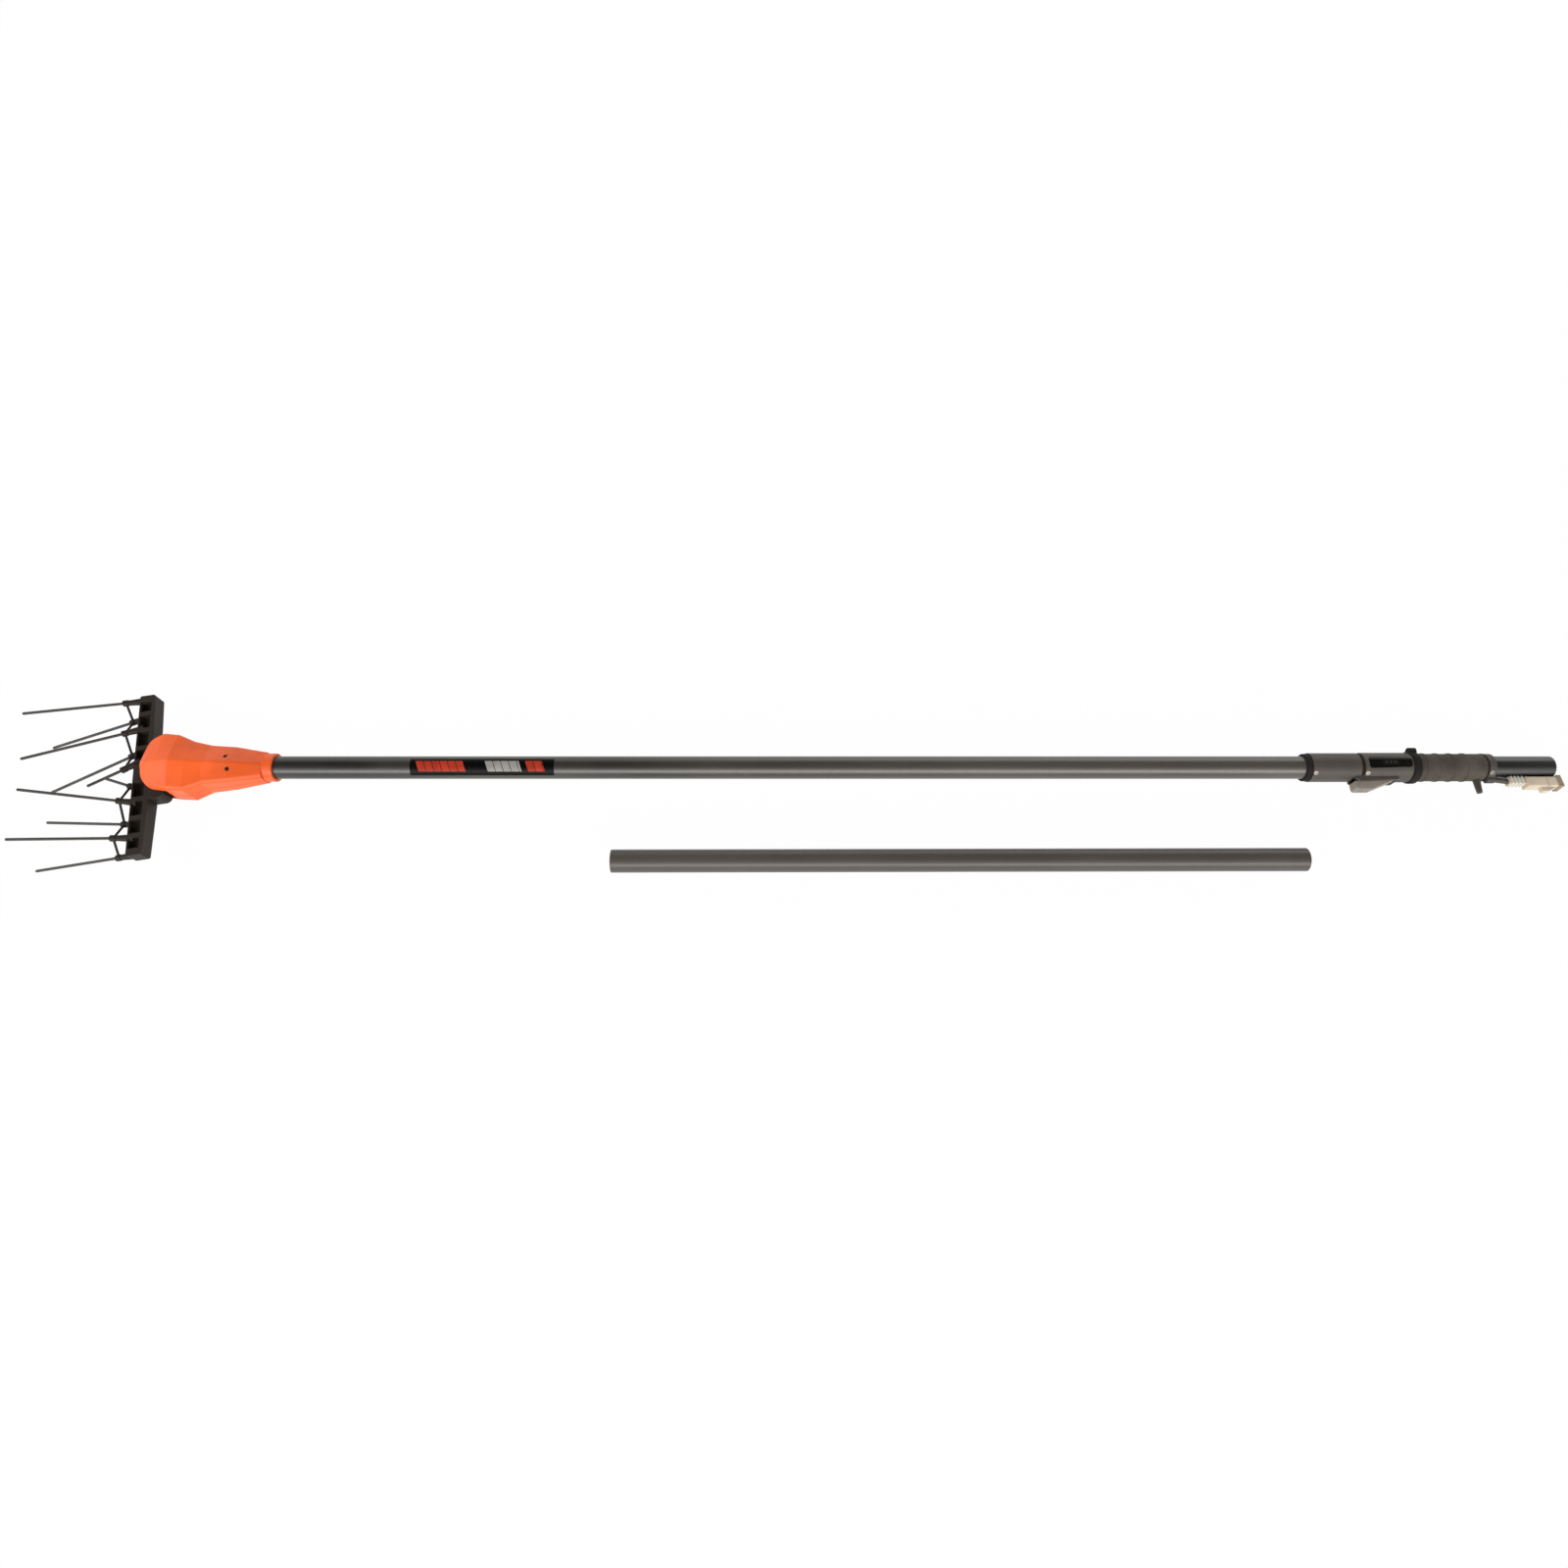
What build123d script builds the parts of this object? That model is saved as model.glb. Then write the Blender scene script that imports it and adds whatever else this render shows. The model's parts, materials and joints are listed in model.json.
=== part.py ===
from build123d import *
import math
import os

# Electric olive harvester that lies on the ground beside its extension tube. Millimetres.
# The tool is drawn in its own frame: origin at the centre of the tail's rear mouth, X along the
# pole to the rear, trigger towards -Y, control panel towards +Z. The finished tool is then turned
# a little about Y, so that its head and its guard ring both lie on level ground.

# Pole
pole_od = 32.0
pole_wall = 1.5
pole_free = 1443.0

# Lengths of the handle's pieces, from the tail forwards
tail_length = 85.0
end_collar_length = 11.0
rear_grip_length = 93.0
guard_width = 12.0
switch_length = 67.0
front_grip_length = 72.0
front_ring_width = 8.0
seam_width = 5.0
seam_depth = 1.8

# Walls of the handle's pieces round the pole
front_grip_wall = 4.4
switch_wall = 4.9
guard_wall = 7.0
guard_lug_r = 6.0
guard_lug_inset = 1.5
guard_lug_reach = 22.0
guard_lug_turn_deg = 30.0
rear_grip_wall = 3.4
front_ring_wall = 3.4
rib_height = 0.8
rib_width = 3.0
rib_pitch = 19.0
rib_count = 4

# Head housing, its X values counted from the comb's pivot
neck_reach = 107.0
neck_collar_length = 14.0
neck_collar_wall = 4.0
neck_wall = 4.4
head_wall = 3.0
gear_room = 6.0
nose_reach = 76.0
head_width_up = 44.5
head_width_down = 43.0
head_depth = 36.0
ridge_shift = 3.0
mouth_half = 14.0
mouth_rear = 32.0
hollow_half = 17.5
rest_trim = 0.5

# Shell screws of the head
screw_r = 2.0
screw_head_r = 3.4
screw_head_height = 2.6
screw_boss_r = 5.0
screw_seat = 7.0
screw_grip = 11.0

# Comb
rock_half_deg = 9.0
tine_places = [11.0, 39.0, 67.0, 93.0, 115.0]
tine_d = 4.0
tine_length = 134.0
short_tine_length = 53.0
tine_splay_deg = 10.3
tine_row_half = 8.5
tine_fan_deg = [27.9, 12.5, 13.9, 4.7, 3.6]
tine_bond_depth = 15.0
socket_reach = 98.0
socket_sweep_deg = 3.2
socket_tip_r = 3.9
socket_root_r = 5.5
bar_centre = 76.0
bar_width = 24.0
bar_depth = 22.0
bar_taper = 3.0
bar_overhang = 7.0
pocket_depth = 7.5
pocket_margin = 3.0
pocket_lip = 1.5
pocket_width = 15.5
brace_r = 1.6
brace_collar_r = 4.5
brace_collar_length = 8.0
hub_r = 13.0
hub_half = 12.0
web_half = 8.0
flange_half_width = 42.0
flange_width = 20.0
flange_round = 8.0
web_front_half = 28.0
arm_bolt_r = 2.5
arm_bolt_head_r = 4.2
arm_bolt_head_height = 3.0
arm_bolt_reach = 12.0
arm_bolt_places = [16.0, 29.0]

# Comb pivot
pivot_pin_r = 5.0
pivot_bush_wall = 2.0
washer_width = 1.0
washer_r = 11.0
pivot_boss_r = 9.5
pivot_seat_depth = 10.0

# Drive train, its axis on the pole's axis
fork_arm = 18.5
roller_r = 6.0
roller_width = 5.0
roller_play = 1.0
prong_width = 4.8
prong_half = 9.0
crank_pin_r = 2.5
crank_web_r = 7.0
crank_web_width = 2.0
output_r = 5.0
output_bush_wall = 2.0
cover_width = 4.0
gear_module = 0.8
sun_teeth = 12
planet_teeth = 18
planet_count = 3
gear_width = 9.0
ring_rim = 1.8
tooth_play = 0.3
tooth_tip = 0.8
tooth_root = 1.2
carrier_width = 3.0
planet_pin_r = 2.0
motor_plate_width = 4.0
motor_gap = 0.7
motor_length = 38.0
motor_cap_length = 5.0
motor_shaft_r = 1.6
motor_hole_r = 6.0
cable_r = 3.0

# Trigger and switch
trigger_length = 54.0
trigger_half = 8.0
trigger_depth = 35.0
trigger_rim_depth = 23.5
trigger_flat = 22.0
trigger_skin = 3.5
trigger_cheek = 2.5
trigger_press_deg = 7.0
trigger_setback = 26.0
hinge_drop = 3.3
hinge_r = 3.0
trigger_pin_r = 1.5
skirt_wall = 3.1
skirt_cover = 1.0
skirt_setback = 8.0
spring_coil_r = 2.5
spring_wire_r = 0.4
spring_pitch = 1.6
spring_turns = 4
microswitch_size = (20.0, 6.4, 6.4)
microswitch_setback = 9.0
plunger_r = 1.2
plunger_length = 3.8

# Control panel
panel_length = 60.0
panel_width = 17.0
panel_tail_width = 14.0
panel_round = 4.0
panel_depth = 2.0
panel_setback = 2.0
panel_gap = 0.15
lens_r = 1.6
lens_pitch = 6.0
lens_count = 3
lens_proud = 0.3
button_r = 3.6
button_proud = 0.8
button_travel = 1.2
button_gap = 0.3
button_setback = 8.5

# Radial screws of the handle, hook, tail and connector
grip_screw_head_r = 3.0
grip_screw_r = 1.5
grip_screw_head_height = 1.6
grip_screw_sunk = 0.2
grip_screw_turn_deg = 45.0
grip_screw_setback = 3.6
hook_root_r = 5.0
hook_tip_r = 3.6
hook_length = 23.0
hook_setback = 10.0
plug_depth = 72.0
plug_width = 6.0
connector_turn_deg = 8.0
lead_r = 3.6
lead_length = 19.0
lug_r = 5.0
lug_lift = 0.6
sleeve_length = 23.0
sleeve_size = 11.0
sleeve_lift = 2.6
block_length = 48.0
block_height = 15.0
block_width = 14.0
block_gap = 2.0
latch_setback = 19.0
latch_length = 22.0
latch_width = 7.0
latch_height = 6.5
contact_width = 1.2
contact_height = 6.5
contact_pocket = (4.8, 9.0, 13.0)
seal_width = 6.0
seal_inset = 1.0
seal_proud = 1.2

# Extension tube on the ground
extension_length = 950.0
extension_rear = -364.0
extension_offset = 133.0
ferrule_length = 110.0
ferrule_wall = 2.5
socket_step = 0.5

# Clearances
fit = 0.05
seat_gap = 0.02
moving_gap = 0.4

# Places along the tool
pole_r = pole_od / 2
bore_r = pole_r - pole_wall
socket_r = bore_r + socket_step
x_end_collar = -tail_length
x_rear_grip = x_end_collar - end_collar_length
x_guard = x_rear_grip - rear_grip_length
x_switch = x_guard - guard_width
x_front_grip = x_switch - switch_length
x_front_ring = x_front_grip - front_grip_length
x_pole_free = x_front_ring - front_ring_width
x_neck = x_pole_free - pole_free
pivot_x = x_neck - neck_reach
front_grip_r = pole_r + front_grip_wall
switch_r = pole_r + switch_wall
guard_r = pole_r + guard_wall
rear_grip_r = pole_r + rear_grip_wall

# Gear sizes
ring_teeth = sun_teeth + 2 * planet_teeth
orbit_r = gear_module * (sun_teeth + planet_teeth) / 2
ring_r = gear_module * (ring_teeth / 2 + 1.25) + ring_rim
crank_throw = fork_arm * math.sin(math.radians(rock_half_deg))

# Places along the drive, counted from the comb's pivot
x_web = fork_arm + roller_width / 2 + 1.0
x_cover = x_web + crank_web_width + 2.0
x_ring = x_cover + cover_width
x_carrier = x_ring + 3.0
x_gears = x_carrier + carrier_width + 1.0
x_plate = x_gears + gear_width + 4.0
x_tube = x_plate + motor_plate_width
x_motor_end = x_tube + motor_length
gear_half = ring_r + gear_room
neck_r = pole_r + neck_wall

# Stations of the head housing: place, reach to +Y, reach to -Y, reach to +Z, reach to -Z, corner
# radius, and the height of the shoulder towards +Y as a share of the reach to +Z
head_stations = [
    (-nose_reach, 20.0, 11.0, 17.0, 17.0, 5.0, 0.68),
    (4.0 - nose_reach, 31.0, 21.0, 24.0, 25.5, 6.0, 0.68),
    (12.0 - nose_reach, 39.0, 31.0, 28.0, 31.5, 7.0, 0.68),
    (26.0 - nose_reach, head_width_up, head_width_down - 4.0, head_depth - 4.5, head_depth - 1.0, 7.0, 0.7),
    (48.0 - nose_reach, head_width_up - 3.5, head_width_down - 1.0, head_depth, head_depth, 7.0, 0.68),
    (70.0 - nose_reach, head_width_up - 12.5, head_width_down, head_depth - 1.5, head_depth, 7.0, 0.62),
    (x_web - 6.0, gear_half + 0.8, gear_half + 4.5, gear_half + 2.5, gear_half + 3.0, 7.0, 0.47),
    (x_plate, gear_half - 1.0, gear_half + 0.5, gear_half + 1.0, gear_half - 1.0, 7.0, 0.45),
    (neck_reach - neck_collar_length, neck_r, neck_r, neck_r, neck_r, 8.0, 0.52),
]
head_screw_places = [(-16.0, 30.0), (-16.0, -32.0), (x_web - 2.0, 22.0), (x_web - 2.0, -23.0),
                     (x_tube + 4.5, pole_r + 4.4), (x_tube + 4.5, -pole_r - 4.4)]
# Screws through the upper cover into the gearbox: place, turn round the pole and height over the ring gear
gear_screw_sites = [(x_plate - 6.0, -17.0, 2.6), (x_plate + 1.0, 26.0, 5.0)]

# The ground, as seen from the tool: it touches the guard ring and the flat under the head
rest_x = pivot_x - 15.0
rest_depth = head_depth - rest_trim
guard_x = x_switch + guard_width / 2
lie_deg = math.degrees(math.atan((rest_depth - guard_r) / (guard_x - rest_x)))
ground_z = -guard_x * math.sin(math.radians(lie_deg)) - guard_r * math.cos(math.radians(lie_deg))

lie = Rot(0, lie_deg, 0)
head_place = Pos(pivot_x, 0, 0)
comb_place = head_place * Rot(0, 0, rock_half_deg)
connector_place = Rot(-connector_turn_deg, 0, 0)


def rod_x(radius, x0, x1, y=0.0, z=0.0):
    """A round bar along X from x0 to x1."""
    return Pos((x0 + x1) / 2, y, z) * Rot(0, 90, 0) * Cylinder(radius, abs(x1 - x0))


def tube_x(outer, inner, x0, x1):
    """A round tube along X from x0 to x1."""
    return rod_x(outer, x0, x1) - rod_x(inner, x0 - 1, x1 + 1)


def rod_z(radius, z0, z1, x=0.0, y=0.0):
    """A round bar along Z from z0 to z1."""
    return Pos(x, y, (z0 + z1) / 2) * Cylinder(radius, abs(z1 - z0))


def box_span(x0, x1, y0, y1, z0, z1):
    """A box between two corners."""
    return Pos((x0 + x1) / 2, (y0 + y1) / 2, (z0 + z1) / 2) * Box(x1 - x0, y1 - y0, z1 - z0)


def along(start, direction, shape):
    """A shape drawn along +Z from the origin, moved to start and turned to direction."""
    return Plane(origin=start, z_dir=direction) * shape


def bar_between(start, end, radius):
    """A round bar from one point to another."""
    span = Vector(*end) - Vector(*start)
    bar = Cylinder(radius, span.length, align=(Align.CENTER, Align.CENTER, Align.MIN))
    return along(start, span, bar)


def across(x):
    """The plane square to the pole at x, with Y to its right and Z up."""
    return Plane(origin=(x, 0, 0), x_dir=(0, 1, 0), z_dir=(1, 0, 0))


def group(pieces):
    """Separate pieces of one kind in one node."""
    return Part() + pieces


def side_profile(points, half):
    """A prism of an outline in X and Y, half thick to each side of the middle plane."""
    return extrude(Polygon(*points, align=None), amount=half, both=True)


# Gears

def gear_outline(teeth, addendum, dedendum, play):
    """The outline of a gear with a tooth on its first axis, with flanks of 20 degrees."""
    pitch_r = gear_module * teeth / 2
    half_tooth = math.pi * gear_module / 4 - play
    points = []
    for tooth in range(teeth):
        middle = 2 * math.pi * tooth / teeth
        for height, side in ((-dedendum, -1), (addendum, -1), (addendum, 1), (-dedendum, 1)):
            radius = pitch_r + height
            turn = middle + side * (half_tooth - height * math.tan(math.radians(20))) / radius
            points.append((radius * math.cos(turn), radius * math.sin(turn)))
    return Polygon(*points, align=None)


def spur_gear(teeth, bore, turn_deg):
    """An external gear on the drive's axis, with its first tooth turned from +Y."""
    tip, root = tooth_tip * gear_module, tooth_root * gear_module
    outline = gear_outline(teeth, tip, root, tooth_play / 2)
    blank = extrude(across(x_gears) * Rot(0, 0, turn_deg) * outline, amount=gear_width)
    return blank - rod_x(bore, x_gears - 1, x_gears + gear_width + 1)


def ring_gear():
    """The fixed ring gear, whose rim is the gearbox wall."""
    tip, root = tooth_tip * gear_module, tooth_root * gear_module
    spaces = gear_outline(ring_teeth, root, tip, -tooth_play / 2)
    place = across(x_ring - 1) * Rot(0, 0, 180 / ring_teeth)
    cut = extrude(place * spaces, amount=x_plate - x_ring + 2)
    return head_place * (rod_x(ring_r, x_ring, x_plate) - cut)


def planet_turns():
    """The directions of the planets from the drive's axis, in degrees from +Y."""
    return [360 * index / planet_count for index in range(planet_count)]


def planet_centre(turn_deg):
    """Where a planet's axis stands, in Y and Z."""
    return orbit_r * math.cos(math.radians(turn_deg)), orbit_r * math.sin(math.radians(turn_deg))


def planet_gear(turn_deg):
    """One planet, turned so that a space faces the sun and another the ring."""
    y, z = planet_centre(turn_deg)
    gear = spur_gear(planet_teeth, planet_pin_r + fit, turn_deg + 180 / planet_teeth)
    return head_place * Pos(0, y, z) * gear


def sun_pinion():
    """The pinion on the motor's shaft."""
    return head_place * spur_gear(sun_teeth, motor_shaft_r + seat_gap, 0)


# Motor, gearbox and crank

def crank_shaft():
    """Output shaft with the eccentric pin at its front and the planet carrier at its rear."""
    shaft = rod_x(output_r, x_web, x_carrier + carrier_width)
    shaft += rod_x(crank_web_r, x_web, x_web + crank_web_width)
    shaft += rod_x(crank_pin_r, fork_arm - roller_width / 2 - 0.6, x_web, y=crank_throw)
    shaft += rod_x(orbit_r + planet_pin_r + 1.5, x_carrier, x_carrier + carrier_width)
    for turn in planet_turns():
        y, z = planet_centre(turn)
        shaft += rod_x(planet_pin_r, x_carrier, x_gears + gear_width + 0.6, y, z)
    return head_place * shaft


def drive_roller():
    """Crowned roller on the eccentric pin, which works between the fork's prongs."""
    ends = box_span(fork_arm - roller_width / 2, fork_arm + roller_width / 2,
                    -2 * roller_r, 2 * roller_r, -2 * roller_r, 2 * roller_r)
    crown = Pos(fork_arm, 0, 0) * Sphere(roller_r) & ends
    bore = rod_x(crank_pin_r + seat_gap, fork_arm - roller_width, fork_arm + roller_width)
    return head_place * Pos(0, crank_throw, 0) * (crown - bore)


def gearbox_cover():
    """Front wall of the gearbox."""
    return head_place * tube_x(ring_r, output_r + output_bush_wall + seat_gap, x_cover, x_ring)


def output_bush():
    """Plain bearing of the output shaft."""
    return head_place * tube_x(output_r + output_bush_wall, output_r + fit, x_cover - 1.5, x_ring + 2.5)


def motor_plate():
    """Plate between the gearbox and the motor, which the pole's front end meets."""
    return head_place * tube_x(ring_r, motor_hole_r, x_plate, x_tube)


def motor_can():
    """Steel can of the motor, inside the front of the pole, with a nose in the plate's hole."""
    can = rod_x(bore_r - motor_gap, x_tube, x_motor_end)
    can += rod_x(motor_hole_r - seat_gap, x_plate + 1.0, x_tube)
    return head_place * (can - rod_x(motor_shaft_r + fit, x_plate, x_motor_end))


def motor_cap():
    """Plastic end cap of the motor with its two tags."""
    cap = rod_x(bore_r - motor_gap, x_motor_end, x_motor_end + motor_cap_length)
    for side in (-1, 1):
        cap += box_span(x_motor_end, x_motor_end + motor_cap_length + 6, side * 8 - 0.4, side * 8 + 0.4, -3, 3)
    return head_place * cap


def motor_shaft():
    """Motor shaft that carries the sun pinion."""
    return head_place * rod_x(motor_shaft_r, x_gears - 0.5, x_motor_end - 0.5)


def inner_cable():
    """Cable that lies in the pole between the motor and the switch."""
    front = pivot_x + x_motor_end + motor_cap_length
    return rod_x(cable_r, front, x_front_grip - 6.0, z=cable_r + fit - bore_r)


def pole_tube():
    """The pole, one tube from the motor plate to the tail, whose mouth is reamed as a socket."""
    tube = tube_x(pole_r, bore_r, pivot_x + x_tube, 0.0)
    leads = Pos(x_front_grip - 2.0, -pole_r, 0) * Rot(90, 0, 0) * Cylinder(2.5, pole_r)
    return tube - leads - rod_x(socket_r, -plug_depth, 1.0)


# Head housing

def head_section(station):
    """The housing's section at a station: a low roof on top and a flat under it."""
    x, up, down, top, bottom, corner, far_shoulder = station
    shoulder, side, foot = 0.68, 0.5, 0.62
    outline = Polygon((up, far_shoulder * top), (-ridge_shift, top), (-down, shoulder * top),
                      (-down, -side * bottom), (-foot * down, -bottom), (foot * up, -bottom),
                      (up, -side * bottom), align=None)
    return across(x) * fillet(outline.vertices(), corner)


def head_form():
    """The housing as a solid body: a smooth nose, then flat faces that run out into the neck."""
    sections = [head_section(station) for station in head_stations]
    return loft(sections[:4]) + loft(sections[3:], ruled=True)


def ground_block():
    """Everything under the flat on which the head lies."""
    return Rot(0, -lie_deg, 0) * box_span(-3000, 500, -500, 500, ground_z - 200, ground_z)


def head_blank():
    """The outer form, cut flat where it lies on the ground."""
    return head_form() - Pos(-pivot_x, 0, 0) * ground_block()


def head_hollow():
    """The space between the covers, less the bosses for the screws and the pivot pin."""
    slim = head_wall + 3.0
    front = [(14.0 - nose_reach, 20.0), (26.0 - nose_reach, head_width_up - slim - 5.0),
             (48.0 - nose_reach, head_width_up - slim - 1.5), (70.0 - nose_reach, head_width_up - slim - 11.0)]
    rear = [front[-1], (x_cover, gear_half - 6.0)]
    hollow = Part()
    for side, half in ((front, hollow_half), (rear, hub_half + washer_width + 0.5)):
        outline = side + [(x, -y) for x, y in reversed(side)]
        hollow += side_profile(outline, half)
    bosses = rod_z(pivot_boss_r, hub_half + washer_width, head_depth)
    bosses += rod_z(pivot_boss_r, -head_depth, -hub_half - washer_width)
    for x, y in head_screw_places:
        bosses += rod_z(screw_boss_r, -head_depth, head_depth, x, y)
    return hollow - bosses


def head_cuts():
    """What is taken out of both covers: mouth, gearbox, pole and pin seats."""
    cuts = box_span(-3 * nose_reach, -mouth_rear, -90, 90, -mouth_half, mouth_half)
    cuts += rod_x(ring_r + seat_gap, x_cover, x_tube)
    cuts += rod_x(pole_r + fit, x_tube - 1.0, neck_reach + 1.0)
    cuts += rod_z(pivot_pin_r + seat_gap, -hub_half - washer_width - pivot_seat_depth,
                  hub_half + washer_width + pivot_seat_depth)
    return cuts


def head_body():
    """Both covers in one piece, before they are parted."""
    return head_blank() - (head_hollow() + head_cuts())


def head_covers():
    """The upper and the lower cover, parted on the middle plane and drilled for the screws."""
    body = head_body()
    upper = body & box_span(-200, 200, -90, 90, 0, 90)
    lower = body & box_span(-200, 200, -90, 90, -90, 0)
    for x, y in head_screw_places:
        lower -= rod_z(screw_r + moving_gap, -screw_seat - 1, 1, x, y)
        lower -= rod_z(screw_head_r + moving_gap, -head_depth - 1, -screw_seat, x, y)
        upper -= rod_z(screw_r + seat_gap, -1, screw_grip, x, y)
    for x, turn, rise in gear_screw_sites:
        upper -= radial(turn, screw_hole(x, ring_r + rise))
    return head_place * upper, head_place * lower


def head_screws():
    """Screws that hold the covers together from below, and two that hold the gearbox."""
    screws = []
    for x, y in head_screw_places:
        screw = rod_z(screw_r, -screw_seat, screw_grip - 1, x, y)
        screw += rod_z(screw_head_r, -screw_seat - screw_head_height, -screw_seat, x, y)
        slot = rod_z(screw_head_r / 2, -head_depth, -screw_seat - screw_head_height / 2, x, y)
        screws.append(head_place * (screw - slot))
    for x, turn, rise in gear_screw_sites:
        screws.append(head_place * radial(turn, radial_screw(x, ring_r + rise, ring_r)))
    return group(screws)


def neck_collar():
    """Ring that clamps the covers' neck on the pole."""
    ring = tube_x(pole_r + neck_collar_wall, pole_r + fit, neck_reach - neck_collar_length, neck_reach)
    rims = ring.edges().filter_by(GeomType.CIRCLE).group_by(SortBy.RADIUS)[-1]
    return head_place * fillet(rims, 0.8)


def pivot_pin():
    """Pin on which the comb rocks, seated in both covers."""
    reach = hub_half + washer_width + pivot_seat_depth - 0.5
    return head_place * rod_z(pivot_pin_r, -reach, reach)


def thrust_washers():
    """Washers between the comb's hub and the covers' bosses."""
    washers = []
    for side in (-1, 1):
        disc = rod_z(washer_r, 0, washer_width) - rod_z(pivot_pin_r + seat_gap, -1, washer_width + 1)
        washers.append(head_place * Pos(0, 0, side * (hub_half + washer_width / 2) - washer_width / 2) * disc)
    return group(washers)


# Comb, drawn at the middle of its rock and then turned to the end of it

def tine_frame(index):
    """Where a tine leaves its socket and which way it points, on the arm towards +Y."""
    row = 1 if (len(tine_places) - 1 - index) % 2 == 0 else -1
    y = tine_places[index]
    splay = math.radians(tine_splay_deg)
    fan = math.radians(tine_fan_deg[index])
    tip = Vector(-socket_reach - y * math.tan(math.radians(socket_sweep_deg)), y, row * tine_row_half)
    way = Vector(-math.cos(splay) * math.cos(fan), -math.cos(splay) * math.sin(fan), row * math.sin(splay))
    return tip, way


def arm_place(side):
    """The place of an arm: the lower one is the upper one turned half round the pole's axis."""
    return comb_place if side > 0 else comb_place * Rot(180, 0, 0)


def arm_end():
    """The reach of an arm from the pole's axis."""
    return tine_places[-1] + bar_overhang


def arm_bolt_seat():
    """Where the arms meet the hub's flange, in front of the pivot."""
    return -bar_centre + bar_width / 2


def comb_arm(side):
    """One arm: a bar that tapers beyond the hub, with pockets between its tapered tine sockets."""
    front, seat = -bar_centre - bar_width / 2, arm_bolt_seat()
    inner, floor = moving_gap / 2, bar_depth / 2 - pocket_depth
    bar = side_profile([(front, inner), (seat, inner), (seat, flange_half_width),
                        (seat - bar_taper, arm_end()), (front, arm_end())], bar_depth / 2)
    outer = bar.edges().filter_by(Axis.Z).group_by(Axis.Y)[-1]
    bar = fillet(outer, bar_width / 9)
    for start, end in zip(tine_places, tine_places[1:]):
        for face in (-1, 1):
            low, high = sorted((face * floor, face * bar_depth))
            bar -= box_span(front + pocket_lip, front + pocket_lip + pocket_width, start + pocket_margin,
                            end - pocket_margin, low, high)
    for index in range(len(tine_places)):
        tip, way = tine_frame(index)
        root = (tip.X + bar_centre + bar_width / 4) / way.X
        cone = Cone(socket_root_r, socket_tip_r, root, align=(Align.CENTER, Align.CENTER, Align.MIN))
        bar += along(tip - way * root, way, cone)
    for index in range(len(tine_places)):
        tip, way = tine_frame(index)
        bar -= bar_between(tip - way * tine_bond_depth, tip + way, tine_d / 2 + seat_gap)
    for y in arm_bolt_places:
        bar -= rod_x(arm_bolt_r + seat_gap, seat - arm_bolt_reach, seat + 1, y)
    return arm_place(side) * bar


def comb_hub():
    """Rocking hub: pivot boss, web, flange for the arms and a fork for the roller."""
    seat = arm_bolt_seat()
    hub = rod_z(hub_r, -hub_half, hub_half)
    rear = seat + flange_width
    web = [(rear, web_front_half), (0, hub_r - 1), (0, 1 - hub_r), (rear, -web_front_half)]
    hub += side_profile(web, web_half)
    flange = box_span(seat, rear, -flange_half_width, flange_half_width, -hub_half, hub_half)
    hub += fillet(flange.edges().filter_by(Axis.Z).group_by(Axis.X)[-1], flange_round)
    gap = roller_r + roller_play
    tip = fork_arm + roller_width / 2 - moving_gap
    for side in (-1, 1):
        inner, outer = sorted((side * gap, side * (gap + prong_width)))
        hub += box_span(0, tip, inner, outer, -prong_half, prong_half)
    hub -= rod_z(pivot_pin_r + pivot_bush_wall + seat_gap, -hub_half - 1, hub_half + 1)
    for y in arm_bolt_places:
        for side in (-1, 1):
            hub -= rod_x(arm_bolt_r + seat_gap, seat - 1, rear + 1, side * y)
            hub -= rod_x(arm_bolt_head_r + moving_gap, rear, rear + 2 * arm_bolt_head_height, side * y)
    return comb_place * hub


def arm_bolts():
    """Bolts that hold the arms on the hub's flange."""
    seat = arm_bolt_seat()
    head = seat + flange_width
    bolts = []
    for y in arm_bolt_places:
        for side in (-1, 1):
            bolt = rod_x(arm_bolt_r, seat - arm_bolt_reach + 1, head, side * y)
            bolt += rod_x(arm_bolt_head_r, head, head + arm_bolt_head_height, side * y)
            bolts.append(comb_place * bolt)
    return group(bolts)


def pivot_bush():
    """Bush in the comb's hub, which turns on the pivot pin."""
    bush = rod_z(pivot_pin_r + pivot_bush_wall, -hub_half, hub_half)
    return comb_place * (bush - rod_z(pivot_pin_r + fit, -hub_half - 1, hub_half + 1))


def tine_brace(side):
    """Zigzag that ties the tips of an arm's sockets, with a collar round each tine."""
    collars = Part()
    struts = Part()
    bores = Part()
    middles = []
    for index in range(len(tine_places)):
        tip, way = tine_frame(index)
        collar = Cylinder(brace_collar_r, brace_collar_length, align=(Align.CENTER, Align.CENTER, Align.MIN))
        collars += along(tip, way, fillet(collar.edges(), brace_collar_r / 4))
        bores += bar_between(tip - way, tip + way * (brace_collar_length + 1), tine_d / 2 + seat_gap)
        middles.append(tip + way * (brace_collar_length / 2))
    for start, end in zip(middles, middles[1:]):
        struts += bar_between(start, end, brace_r)
    return arm_place(side) * (collars + struts - bores)


def tine(index, side):
    """One tine, bonded in its socket, with a round tip."""
    tip, way = tine_frame(index)
    length = short_tine_length if index == 0 else tine_length
    end = tip + way * (length - tine_d / 2)
    rod = bar_between(tip - way * (tine_bond_depth - 0.5), end, tine_d / 2)
    return arm_place(side) * (rod + Pos(*end) * Sphere(tine_d / 2))


# Handle

def trigger_front():
    """The place of the trigger's front edge."""
    return hinge_place()[0] - trigger_length


def hinge_place():
    """The trigger's hinge, in X and Y."""
    return x_switch - trigger_setback, -pole_r - hinge_drop


def panel_middle():
    """The middle of the control panel along the pole."""
    return x_switch - panel_setback - panel_length / 2


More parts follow.
